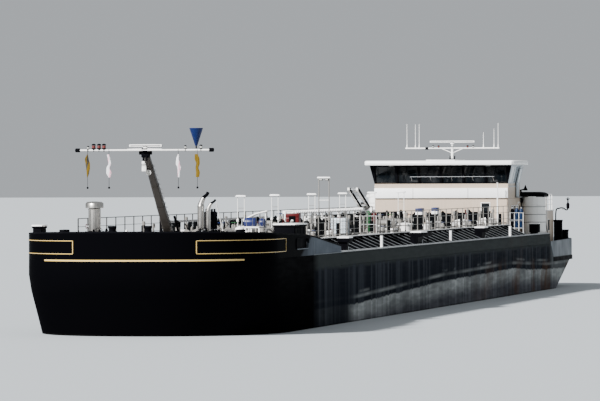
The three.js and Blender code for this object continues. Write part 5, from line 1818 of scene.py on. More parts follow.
@dataclass
class DeckFittings:
    """The crowd of small gear between the hatches: level gauges, pumps, sounding pipes, lockers, hoses and lamps."""

    first: float = 2000
    step: float = 500
    count: int = 14
    left_out: Pair = (5000, 5500)
    monitors: tuple[Pair, ...] = ((2180, 300), (6250, -300), (7900, 300))
    rungs: range = range(1910, 4311, 100)

    def add_pump(self, shape: Shape, aft: float, port: float) -> None:
        """Add a deep-well pump head with its hydraulic motor and discharge elbow."""
        foot = (aft, port, SEAT)
        shape.turned(foot, [(24, 0), (24, 4), (17, 5), (17, 26), (22, 27), (22, 33), (12, 34), (12, 62)], PIPE, 20)
        shape.turned(foot, [(11, 60), (15, 63), (15, 84), (8, 88), (3, 96)], KNEE_DARK, 20)
        add_bolts(shape, (aft, port, 4), 21, 8, 1.6, 3)
        inwards = -1 if port > 0 else 1
        elbow = [(aft, port + inwards * out, up) for out, up in ((0, 16), (40, 20), (70, 34))]
        shape.tube(smooth_line(elbow, 4), 7, PIPE, 12)

    def add_gauge(self, shape: Shape, aft: float, port: float, height: float) -> None:
        """Add a level gauge: a slim stem with a round head."""
        stem = [(9, 0), (9, 3), (4, 4), (4, height - 22), (8, height - 20), (8, height - 4), (4, height)]
        shape.turned((aft, port, SEAT), stem, PIPE, 14)

    def add_gooseneck(self, shape: Shape, aft: float, port: float, height: float) -> None:
        """Add a bent vent pipe."""
        bend = [(0, 0), (0, height), (7, height + 11), (21, height + 9), (25, height - 6)]
        shape.tube(smooth_line([(aft + out, port, SEAT + up) for out, up in bend], 4), 4.6, PIPE)
        shape.turned((aft, port, SEAT), [(10, 0), (10, 2), (5, 3)], WHITE, 14)

    def add_monitor(self, shape: Shape, aft: float, port: float) -> None:
        """Add a small water cannon on its post."""
        post = [(15, 0), (15, 4), (7, 5), (7, 70), (11, 71), (11, 80), (8, 84)]
        shape.turned((aft, port, SEAT), post, FIRE_RED, 16)
        shape.tube([(aft + 8, port, SEAT + 78), (aft - 30, port, SEAT + 98)], [7, 4], FIRE_RED, 14)

    def add_bay(self, shape: Shape, aft: float, index: int) -> None:
        """Add the gear of one tank's bay."""
        # The boxes in near-black knee web paint are partly painted shade: they stand for the shaded gaps between the
        # white gear.
        boxes = (
            (366, 410, 250, 22, 46, KNEE_DARK if index % 3 else WHITE),
            (130, 150, 392, 9, 70, KNEE_DARK),
            (300, 310, 280, 30, 84, KNEE_DARK),
        )
        for side in SIDES:
            self.add_pump(shape, aft + 90, side * 210)
            self.add_gauge(shape, aft + 30, side * 366, 92 + 6 * (index % 3))
            self.add_gauge(shape, aft + 230, side * 196, 78)
            self.add_gooseneck(shape, aft + 330, side * 384, 62)
            self.add_gooseneck(shape, aft + 180, side * 160, 48)
            stub = [(17, 0), (17, 22), (20, 23), (20, 28), (5, 31)]
            shape.turned((aft + 250, side * 330, SEAT), stub, WHITE, 20)
            shape.tube([(aft + 20, side * 400, 12), (aft + 470, side * 400, 12)], 4, PIPE)
            add_wheel_valve(shape, (aft + 420, side * 400, 14), 9, FIRE_RED if index % 2 else SIGNAL_BLUE)
            for start, end, port, half, high, paint in boxes:
                low = (aft + start, side * port - half, SEAT)
                shape.box(low, (aft + end, side * port + half, high), paint, 2)
        for port in (-170, 96):
            shape.tube([(aft + 10, port, 14), (aft + 490, port, 14)], 4, PIPE)

    def add_cable_tray(self, shape: Shape) -> None:
        """Add the cable ladder on low posts along the starboard side of the lines."""
        start, end = self.rungs[0] - 10, self.rungs[-1] + 70
        for port in (-214, -236):
            shape.box((start, port, 84), (end, port + 3, 94), GALVANISED)
        for k, aft in enumerate(self.rungs):
            shape.box((aft, -236, 85), (aft + 5, -212, 88), GALVANISED)
            if k % 3 == 0:
                shape.tube([(aft, -224, SEAT), (aft, -224, 86)], 3, GALVANISED, 8)

    def build(self) -> None:
        """Build the fittings as one piece of plain small gear."""
        shape = Shape("deck_fittings", (0, 0, UPPER_DECK))
        for index in range(self.count):
            aft = self.first + index * self.step
            if aft not in self.left_out:
                self.add_bay(shape, aft, index)
        for aft, port in self.monitors:
            self.add_monitor(shape, aft, port)
        self.add_cable_tray(shape)
        shape.tube([(1180, 214, SEAT), (1080, 190, 186)], [3, 2], WHITE)
        shape.turned((1180, 214, SEAT), [(9, 0), (9, 3), (4, 5)], WHITE, 14)
        shape.finish_off(Slot.PIPE)


@dataclass
class VentLine:
    """The low gas pipe on the centreline and its six tall stacks with flat caps."""

    stations: tuple[float, ...] = (2610, 3490, 4520, 5440, 6370, 7360)
    start: int = 2500
    end: int = 7470
    up: float = 24
    top: float = 208

    def add_stack(self, shape: Shape, aft: float) -> None:
        """Add one stack: foot, two posts, cross ties, valve heads and cap."""
        low, high = self.up, self.top
        shape.box((aft - 10, -22, SEAT), (aft + 10, 22, low + 12), WHITE, 2)
        for port in (-17, 17):
            shape.turned((aft, port, low + 10), [(6, 0), (6, 3), (1.8, 4), (1.8, high - low - 14)], RIM, 14)
            shape.turned((aft, port, 80), [(3, 0), (6, 3), (6, 14), (3, 18)], WHITE, 14)
        for up in (62, 150):
            shape.tube([(aft, -17, up), (aft, 17, up)], 1.4, PIPE, 8)
        shape.box((aft - 12, -26, high - 3), (aft + 12, 26, high + 3), BRIGHT, 1.5)
        shape.box((aft - 9, -23, high + 2), (aft + 9, 23, high + 6), BRIGHT, 1.5)

    def build(self) -> None:
        """Build the line and its stacks as one piece."""
        shape = Shape("vent_pipe_and_stacks", (0, 0, UPPER_DECK))
        shape.tube([(aft, 0, self.up) for aft in spread(self.start, self.end, 9)], 9, PIPE, 16)
        for aft in range(self.start + 60, self.end, 420):
            add_flange(shape, (aft, 0, self.up), 15, LENGTHWISE, 6)
            shape.box((aft + 180, -11, SEAT), (aft + 186, 11, self.up - 3), PIPE, 1)
        for aft in self.stations:
            self.add_stack(shape, aft)
        shape.finish_off(Slot.RAIL, "vent_line")


@dataclass
class Catwalk:
    """The raised walkway over the lines: channels, grating bars, legs and braces."""

    start: int = 3400
    end: int = 5420
    inner: float = 68
    outer: float = 118
    low: float = 114
    high: float = 132

    def add_walk(self, shape: Shape) -> None:
        """Add the channels, the grating's bars and the brackets along both edges."""
        a, b, c, d, low, high = self.start, self.end, self.inner, self.outer, self.low, self.high
        # Painted light: the side channels take the brighter white, lighter than the ends and the plate, so their shaded
        # port-facing sides look lit.
        for port in (c, d - 4):
            shape.box((a, port, low), (b, port + 4, high), BRIGHT, 1)
        for aft in (a, b - 4):
            shape.box((aft, c, low), (aft + 4, d, high), WHITE, 1)
        shape.box((a, c + 3, high - 9), (b, d - 3, high - 6), WHITE)
        for aft in range(a + 2, b, 20):
            shape.box((aft, c + 3, high - 6), (aft + 13, d - 3, high - 3), BRIGHT)
        for aft in range(a, b, 50):
            for near, far in ((c - 11, c + 1), (d - 1, d + 11)):
                shape.box((aft, near, low + 1), (aft + 3, far, high - 1), BRIGHT)

    def add_legs(self, shape: Shape) -> None:
        """Add the legs with their braces, and the ladder at the forward end."""
        a, c, d, low, high = self.start, self.inner, self.outer, self.low, self.high
        for aft in range(a + 40, self.end, 486):
            for port in (c + 6, d - 6):
                shape.turned((aft, port, SEAT), [(11, 0), (11, 3), (5, 4), (5, low + 2)], WHITE, 14)
                shape.tube([(aft + 4, port, low - 44), (aft + 48, port, low + 4)], 2.6, WHITE, 8)
            shape.tube([(aft, c + 6, low - 30), (aft, d - 6, low - 30)], 3, WHITE, 8)
        for port in (c + 4, d - 4):
            shape.tube([(a - 2, port, high - 4), (a - 62, port, 2)], 3, WHITE)
        for aft, up in zip(spread(a - 62, a - 2, 8)[1:-1], spread(0, high, 8)[1:-1]):
            shape.box((aft - 5, c + 5, up - 2), (aft + 5, d - 5, up), WHITE)

    def build(self) -> None:
        """Build the walkway as one piece."""
        shape = Shape("catwalk_frame", (0, 0, UPPER_DECK))
        self.add_walk(shape)
        self.add_legs(shape)
        shape.finish_off(Slot.RAIL, "catwalk")


@dataclass
class HoseCrane:
    """The hose crane: a fixed post and a jib of two beams that slews on it."""

    aft: float = 5500
    port: float = 110
    slew_up: float = 728
    reach: float = 350
    rise: float = 100
    beam: float = 23.5

    def build_post(self) -> None:
        """Build the post with its flange and gussets."""
        post = Shape("hose_crane_column", (self.aft, self.port, ON_DECK))
        top = self.slew_up - ON_DECK
        column = [(34, 0), (34, 6), (20, 7), (18, 12), (18, top - 10), (22, top - 9), (22, top)]
        post.turned(CENTRE, column, WHITE, 32)
        add_bolts(post, (0, 0, 6), 29, 12, 2, 3)
        web = [(17, 5), (31, 5), (18, 34)]
        for a, b in circle(4, 1, math.pi / 4):
            post.loft([[(r * a - b * shift, r * b + a * shift, up) for r, up in web] for shift in (-1.5, 1.5)], WHITE)
        post.finish_off(Slot.HOUSE, "hose_crane_post")

    def spot(self, share: float, side: float = 0.0, lift: float = 0.0) -> Spot:
        """Give a place on the jib, at a share of its reach."""
        return (-self.reach * share, side, 16 + self.rise * share + lift)

    def build_jib(self) -> None:
        """Build the jib with its turntable, beams, cross ties, winch, hose saddle and hook."""
        jib = Shape("hose_crane_boom", (self.aft, self.port, self.slew_up + SEAT))
        jib.turned(CENTRE, [(24, 0), (24, 8), (20, 9), (20, 12)], PIPE, 32)
        jib.box((-12, -30, 6), (12, 30, 22), PIPE, 3, 2)
        spot, beam = self.spot, self.beam
        for side in (-beam, beam):
            for near, far, paint in ((-8, 4, WHITE), (3.5, 8, KNEE_DARK)):
                corners = ((near, -7), (far, -7), (far, 7), (near, 7))
                jib.loft([[spot(share, side + port, lift) for port, lift in corners] for share in (0, 1)], paint)
        for share, thick, finish in ((0.14, 2.6, PIPE), (0.5, 2.6, PIPE), (0.86, 2.6, PIPE), (0.98, 3, GALVANISED)):
            jib.tube([spot(share, -beam), spot(share, beam)], thick, finish)
        winch = [(9, 0), (9, 3), (7, 4), (7, 20), (9, 21), (9, 24)]
        jib.turned(spot(0.1, -12, 9), winch, BLACK, 20, ACROSS)
        jib.tube([spot(0.1, 0, 16), spot(0.55, 0, 12), spot(0.98, 0, 9)], 1, GALVANISED, 6)
        aft, port, up = spot(1.0, 0, -6)
        jib.tube([(aft - 6, port, up + 8), (aft - 7, port, up - 22)], 1, GALVANISED, 6)
        jib.ring((aft - 7, port, up - 27), 5, 1.6, BLACK, ACROSS, 14)
        jib.finish_off(Slot.RAIL, "hose_crane_jib", body=Body.CRANE)

    def build(self) -> None:
        """Build the post and the jib."""
        self.build_post()
        self.build_jib()


@dataclass
class LampFrame:
    """The tall frame of two posts with its lamps."""

    aft: float = 4030
    port: float = 156
    top: float = 298

    def build(self) -> None:
        """Build the frame as one piece."""
        shape = Shape("lamp_frame_posts", (self.aft, self.port, UPPER_DECK))
        top = self.top
        shape.box((-10, -36, SEAT), (10, 36, 5.3), WHITE, 1.5)
        for port in (-27, 27):
            shape.tube([(0, port, 3.3), (0, port, 170), (0, port, top)], 2.8, PIPE, 14)
            shape.tube([(8, port, 4.3), (0, port, 60.3)], 2, WHITE, 8)
        for up in (90, 180):
            shape.tube([(0, -27, up), (0, 27, up)], 2, WHITE, 8)
        shape.box((-10, -34, top - 4), (10, 34, top + 4), BRIGHT, 1.5)
        for port in (-16, 16):
            shape.box((-8, port - 9, top - 16), (4, port + 9, top - 4), BLACK, 2)
            shape.box((-9, port - 7, top - 14), (-7.5, port + 7, top - 6), LENS)
        shape.finish_off(Slot.RAIL, "lamp_frame")


# Loose gear


@dataclass(frozen=True)
class Bottle:
    """One upright gas bottle: its place, radius, height and paint."""

    aft: float
    port: float
    radius: float
    height: float
    paint: Finish

    def build(self, shape: Shape, low: float) -> None:
        """Add the bottle with its shoulder, valve cap and strap, standing at a height."""
        spot, r, top = (self.aft, self.port), self.radius, self.height - 10
        body = [(r - 1, 0), (r, 1.5), (r, top - 14), (r * 0.8, top - 6), (r * 0.4, top)]
        shape.turned((*spot, low), body, self.paint)
        shape.turned((*spot, low + top - 1), [(r * 0.42, 0), (r * 0.42, 8), (2, 10)], GALVANISED, 14)
        shape.ring((*spot, low + 40), r + 0.8, 1, GALVANISED)


@dataclass
class BottleRack:
    """Upright gas bottles side by side in an open rack."""

    node: str
    slot: Slot
    bottles: tuple[Bottle, ...]
    deck: float
    floor: float
    guards: bool = False

    def build(self) -> None:
        """Build the bottles, the rack's floor and its guard bars as one piece."""
        shape = Shape(f"{self.node}_bottles", (0, 0, self.deck + SEAT))
        floor, bottles = self.floor, self.bottles
        start = min(bottle.aft - bottle.radius for bottle in bottles) - 3
        end = max(bottle.aft + bottle.radius for bottle in bottles) + 3
        inner = min(bottle.port - bottle.radius for bottle in bottles) - 3
        outer = max(bottle.port + bottle.radius for bottle in bottles) + 3
        shape.box((start, inner, floor - 6), (end, outer, floor), GALVANISED, 1)
        between = [bottle.port + bottle.radius + 1.4 for bottle in bottles[:-1]] if self.guards else []
        front, ports = start + 1.6, (inner + 1.5, *between, outer - 1.5)
        for port in ports:
            shape.tube([(front, port, 0), (front, port, floor + 92)], 1.5, WHITE, 8)
            shape.box((start, port - 2, 0), (end, port + 2, 4), GALVANISED, 1)
            shape.tube([(end - 3, port, 0), (end - 3, port, floor - 2)], 2, GALVANISED, 8)
        for up in (floor + 46, floor + 90):
            shape.tube([(front, ports[0], up), (front, ports[-1], up)], 1.2, GALVANISED, 8)
        for bottle in bottles:
            bottle.build(shape, floor - 1)
        shape.finish_off(self.slot, self.node)


@dataclass
class WaterTank:
    """The white upright tank forward on the trunk."""

    aft: float = 1700
    port: float = 176
    radius: float = 22

    def build(self) -> None:
        """Build the tank with its feet, straps and filler."""
        shape = Shape("white_deck_tank", (self.aft, self.port, ON_DECK))
        r = self.radius
        shape.box((-25, -25, 0), (25, 25, 5), GALVANISED, 1)
        shape.turned((0, 0, 4), [(r - 3, 0), (r, 3), (r, 54), (r - 5, 60), (6, 62), (6, 66)], WHITE, 32)
        for up in (18, 44):
            shape.ring((0, 0, up), r + 0.5, 1.2, GALVANISED, sides=24)
        shape.finish_off(Slot.HOUSE, "water_tank")


@dataclass
class LyingTanks:
    """Two blue round tanks that lie across a rack, with a white cover beside them."""

    tanks: tuple[tuple[float, ...], ...] = ((1350, 268, 328, 24), (1440, 322, 354, 22))
    rack: tuple[float, ...] = (1320, 1468, 276, 348, 72)
    cover: tuple[Pair, ...] = ((252, 108), (300, 130), (352, 142))

    def add_rack(self, shape: Shape) -> None:
        """Add the rack, the box inside it and the cover on its posts."""
        start, end, inner, outer, top = self.rack
        for port in (inner, outer - 6):
            for aft in (start, end - 6):
                shape.box((aft, port, 0), (aft + 6, port + 6, top), WHITE, 1)
        for port in (inner, outer - 4):
            for up in (4, top * 0.5, top - 6):
                shape.box((start, port, up - 3), (end, port + 4, up + 3), WHITE, 1)
        shape.box((start, inner, top - 7), (end, outer, top), WHITE, 1)
        shape.box((start + 8, inner + 6, 6), (end - 8, outer - 6, 46), PIPE, 4, 2)
        for port, up in ((264, 112), (344, 138)):
            shape.tube([(end + 20, port, 0), (end + 20, port, up)], 3, WHITE)
        a, b = end + 8, end + 92
        rings = [[(a, port, up), (b, port, up), (b, port, up + 5), (a, port, up + 5)] for port, up in self.cover]
        shape.loft(rings, BRIGHT)

    def build(self) -> None:
        """Build the rack, the tanks and their straps."""
        shape = Shape("lying_blue_tanks", (0, 0, ON_DECK))
        self.add_rack(shape)
        for aft, near, far, r in self.tanks:
            up, length = self.rack[-1] + r - 6, far - near
            head = [(r * 0.5, 0), (r * 0.9, 3), (r, 8)]
            profile = head + [(size, length - place) for size, place in head[::-1]]
            shape.turned((aft, near, up), profile, BLUE_DRUM, 32, ACROSS)
            for share in (0.25, 0.75):
                shape.ring((aft, near + length * share, up), r + 0.6, 1.2, GALVANISED, ACROSS, 28)
        shape.finish_off(Slot.DRUM_BLUE, "drums_forward")


@dataclass
class Locker:
    """A box on the trunk: a body with a door, a lid of its own colour and low feet."""

    name: str
    node: str
    start: float
    end: float
    inner: float
    outer: float
    height: float
    body: Finish
    lid: Finish
    slot: Slot
    window: Finish | None = None

    def build(self) -> None:
        """Build the locker as one piece."""
        shape = Shape(self.name, (0, 0, ON_DECK))
        a, b, c, d, top = self.start, self.end, self.inner, self.outer, self.height - SEAT
        for aft in (a + 2, b - 8):
            shape.box((aft, c + 2, 0), (aft + 6, d - 2, 6), GALVANISED, 1)
        shape.box((a + 1, c + 1, 5), (b - 1, d - 1, top - 20), self.body, 2, 2)
        shape.box((a, c, top - 22), (b, d, top), self.lid, 3, 2)
        shape.box((a + 0.2, c + 6, 12), (a + 2, d - 6, top - 28), self.body, 0.6)
        if self.window:
            wide, middle = (d - c) * 0.24, (c + d) / 2
            shape.box((a - 1.4, middle - wide, 40), (a + 1, middle + wide, top - 14), self.window, 0.4)
            shape.box((a - 2.2, middle - wide / 3, top - 50), (a - 1, middle + wide / 3, top - 32), RIM, 0.4)
        shape.box((a + 8, d - 2, 12), (b - 8, d - 0.2, top - 28), self.body, 0.6)
        shape.box((a + 12, d - 1, 44), (a + 16, d, 56), BLACK)
        shape.finish_off(self.slot, self.node)


@dataclass
class LiquidTote:
    """A pale plastic tank in its tube cage on a pallet."""

    start: float = 3300
    end: float = 3400
    inner: float = 322
    outer: float = 404
    height: float = 97.7

    def bars(self) -> list[list[Spot]]:
        """List the cage's tubes: six level hoops and six uprights on each side."""
        a, b, c, d = self.start, self.end, self.inner, self.outer
        fore, back, near, far = a + 1.2, b - 1.2, c + 1.2, d - 1.2
        bars = []
        for k, (aft, port) in enumerate(zip(spread(a + 2, b - 2, 6), spread(c + 2, d - 2, 6))):
            up = 18 + k * 13
            bars += [[(place, c + 2, up), (place, d - 2, up)] for place in (fore, back)]
            bars += [[(a + 2, place, up), (b - 2, place, up)] for place in (near, far)]
            for spot in ((aft, near), (aft, far), (fore, port), (back, port)):
                bars.append([(*spot, 12), (*spot, self.height - 7)])
        return bars

    def build(self) -> None:
        """Build the tank, its cage, pallet, lid and tap."""
        shape = Shape("caged_plastic_tote", (0, 0, ON_DECK))
        a, b, c, d, top = self.start, self.end, self.inner, self.outer, self.height
        for aft in (a + 1, (a + b) / 2 - 5, b - 11):
            shape.box((aft, c + 1, 0), (aft + 10, d - 1, 10), GALVANISED, 1)
        shape.box((a, c, 9), (b, d, 13), GALVANISED, 1)
        shape.box((a + 3, c + 3, 12), (b - 3, d - 3, top - 5), TOTE, 6, 3)
        shape.turned(((a + b) / 2, (c + d) / 2, top - 6), [(13, 0), (13, 4), (11, 5.6)], FIRE_RED, 20)
        for bar in self.bars():
            shape.tube(bar, 0.9, GALVANISED, 6)
        shape.turned((a + 4, (c + d) / 2, 20), [(5, 0), (5, 4)], BLACK, 14, (-1, 0, 0))
        shape.finish_off(Slot.TOTE, "liquid_tote")


# The house


@dataclass(frozen=True)
class Wall:
    """One outer wall of the house, where windows and doors are set.

    "out" is 1 where the wall faces aft or to port, else -1.
    """

    house: Shape
    axis: Axis
    place: float
    out: int

    def panel(self, ends: Pair, heights: Pair, depths: Pair, finish: Finish, round_off: float = 0.0) -> None:
        """Add a flat block on the wall.

        Args:
            ends: Where it starts and ends along the wall.
            heights: Its foot and its top.
            depths: Where it starts and ends, outwards from the wall.
            finish: What it's made of.
            round_off: Width of the bevel along its edges.
        """
        corners = []
        for end, up, depth in zip(ends, heights, depths):
            place = self.place + self.out * depth
            corners.append((place, end, up) if self.axis is Axis.AFT else (end, place, up))
        self.house.box(*corners, finish, round_off)

    def window(self, ends: Pair, heights: Pair) -> None:
        """Add a window: a rim round a dark pane."""
        (start, end), (low, high) = ends, heights
        self.panel((start - 5, end + 5), (low - 5, high + 5), (0, 3.2), RIM, 1)
        self.panel(ends, heights, (1.6, 3.6), WINDOW)


@dataclass
class Deckhouse:
    """The accommodation under the wheelhouse, with windows, doors, hatches and roof rails."""

    start: float = 8830
    step: float = 9738
    end: float = 10450
    half: float = HOUSE_HALF
    aft_half: float = 468
    top: float = 772
    aft_top: float = 690
    rail_aft: float = 10438

    def add_walls(self, house: Shape) -> None:
        """Add the two blocks with their gutters and plate seams."""
        step, end, half, top = self.step, self.end, self.aft_half, self.aft_top
        house.box((self.start, -self.half, MAIN_DECK + SEAT), (step + 2, self.half, self.top), CREAM, 2)
        house.box((step, -half, ON_AFT_DECK), (end, half, top), CREAM, 3)
        house.box((end - 2, -half, top - 6), (end + 4, half, top + 1), RIM, 1)
        for side in SIDES:
            y = side * half
            house.box((step, y - side * 2, top - 6), (end, y + side * 4, top + 1), RIM, 1)
            for aft in (9920, 10100, 10280):
                house.box((aft, y - side, AFT_DECK + 2), (aft + 2, y + side * 0.8, top - 8), CREAM)

    def add_openings(self, house: Shape) -> None:
        """Add the windows and doors of every wall."""
        Wall(house, Axis.AFT, self.start, -1).window((250, 300), (694, 743))
        for side in SIDES:
            wall = Wall(house, Axis.PORT, side * self.half, side)
            for aft in (8960, 9060, 9160):
                wall.window((aft, aft + 56), (664, 724))
            wall.panel((9232, 9312), (552, 748), (-1, 4), RIM, 1.5)
            wall.panel((9236, 9308), (556, 744), (0, 5.2), CREAM, 2)
            wall.panel((9250, 9294), (680, 724), (0, 5.8), WINDOW)
            wall.panel((9240, 9246), (640, 660), (0, 9), GALVANISED, 1)
            wall = Wall(house, Axis.PORT, side * self.aft_half, side)
            for aft in (9860, 10020, 10180):
                wall.window((aft, aft + 62), (560, 628))
        wall = Wall(house, Axis.AFT, self.end, 1)
        for port in (-250, 0, 250):
            wall.window((port - 34, port + 34), (560, 628))
        for port in (-130, 130):
            wall.panel((port - 40, port + 40), (402, 640), (-1, 4), RIM, 1.5)
            wall.panel((port - 36, port + 36), (405, 636), (0, 5.4), CREAM, 2)
            wall.panel((port - 18, port + 18), (560, 612), (0, 6), WINDOW)
            wall.panel((port + 26, port + 31), (500, 520), (0, 9), GALVANISED, 1)

    def add_rail(self, house: Shape, line: Sequence[Pair], posts: Sequence[Pair]) -> None:
        """Add one run of the aft roof's rail with its posts."""
        for post in posts:
            house.turned((*post, 0), [(6, 0), (6, 2), (2.9, 3), (2.9, 96)], WHITE, 10)
        for up, thick in ((36, 2), (66, 2), (97, 3)):
            house.tube([(*spot, up) for spot in line], thick, WHITE)

    def add_roof_gear(self, house: Shape) -> None:
        """Add the aft roof's rail, hatches and vents, measured from the roof up."""
        back = [(self.rail_aft, port) for port in (-460, -320, -180, -60, 60, 180, 320, 460)]
        self.add_rail(house, back, back[1:-1])
        for side in SIDES:
            line = [(aft, side * (self.aft_half - 8)) for aft in (9760, 9900, 10040, 10180, 10320, self.rail_aft)]
            self.add_rail(house, line, line)
        for aft, port in ((9840, -220), (10160, 220)):
            house.box((aft, port - 60, -1), (aft + 150, port + 60, 22), CREAM, 3)
            house.box((aft + 8, port - 52, 20), (aft + 142, port + 52, 25), WINDOW, 2)
        vent = [(18, 0), (18, 3), (12, 4), (12, 40), (26, 42), (26, 52), (16, 60), (2, 62)]
        for spot in ((9820, 260), (10340, -300), (9990, 0)):
            house.turned((*spot, 0), vent, RIM)

    def build(self) -> None:
        """Build the deckhouse as one piece, with the aerial ahead of it."""
        house = Shape("deckhouse_walls")
        self.add_walls(house)
        self.add_openings(house)
        pole = [(9, 0), (9, 4), (4, 5), (4, 200), (2.6, 252), (5, 253), (5, 258)]
        house.turned((8750, 361, ON_DECK), pole, WHITE, 14)
        house.origin = (0, 0, self.aft_top)
        self.add_roof_gear(house)
        house.finish_off(Slot.HOUSE, "deckhouse")


@dataclass
class SideCasing:
    """The rounded casing beside the house: three wrap-round drip ledges below a black crowned canopy."""

    start: float = 9336
    end: float = 9520
    inner: float = 422
    outer: float = 550
    low: float = SIDE_DECK_TOP + SEAT
    top: float = 780
    ledges: tuple[float, ...] = (620, 668, 716)

    def plan(self, grow: float = 0.0) -> list[Pair]:
        """Give the casing's plan, with a half-round front."""
        radius = (self.outer - self.inner) / 2
        aft, port, reach = self.start + radius, self.inner + radius, radius + grow
        turns = [math.pi * k / 16 for k in range(17)]
        front = [(aft - reach * math.sin(turn), port - reach * math.cos(turn)) for turn in turns]
        return [(self.end, self.inner - grow), *front, (self.end, self.outer + grow)]

    @staticmethod
    def lid(up: float, inset: float) -> list[Spot]:
        """Give the canopy's outline at a height."""
        a, b, c, d = 9334 + inset, 9600 - inset, 366 + inset, 560 - inset
        corners = [(a + 12, c), (b - 6, c), (b, c + 6), (b, d - 12), (b - 12, d), (a + 40, d), (a + 8, d - 40)]
        return [(*corner, up) for corner in [*corners, (a, c + 20)]]

    def make(self, cover: Finish) -> Shape:
        """Make the port casing under a cover of one paint."""
        shape = Shape("casing")
        shape.prism(self.plan(), Axis.UP, (self.low, self.top), RIM)
        for up in self.ledges:
            shape.prism(self.plan(0.8), Axis.UP, (up - 1.3, up + 1.3), KNEE_DARK)
            levels = ((up + 2, 0.4), (up + 6, 2.2), (up + 8, 0.4))
            shape.loft([[(*spot, level) for spot in self.plan(grow)] for level, grow in levels], RIM)
        canopy = ((777, 2), (780, 0), (790, 0), (798, 7), (805, 22), (808, 48))
        shape.loft([self.lid(*level) for level in canopy], cover)
        shape.turned((9440, 404, 806), [(9, 0), (9, 4), (5, 5), (5, 14)], BLACK, 14)
        shape.tube([(9440, 388, 816), (9440, 426, 824)], 4, BLACK, 14)
        shape.turned((9440, 433, 817), [(12, 0), (14, 2), (14, 7), (8, 17), (3, 30), (2, 34)], BLACK)
        # Painted shade: a near-black block under the canopy's inner end fills the shaded gap between the house and the
        # casing.
        shape.box((9336, 384, 742), (9420, 424, 779), BLACK, 3, 2)
        shape.tube([(9570, 548, self.low), (9570, 548, 779)], 3, WHITE)
        shape.tube([(9525, 560, self.low), (9525, 535, 690)], 2.6, BLACK)
        shape.box((9518, 430, self.low + 30), (9522, 540, 760), RIM, 1.5)
        return shape

    def build(self) -> None:
        """Build both casings; the starboard one has a white canopy."""
        self.make(BLACK).finish_off(Slot.HOUSE, "side_casing_port")
        other = self.make(WHITE).mirrored()
        other.name = "casing_starboard"
        other.finish_off(Slot.HOUSE, "side_casing_starboard")


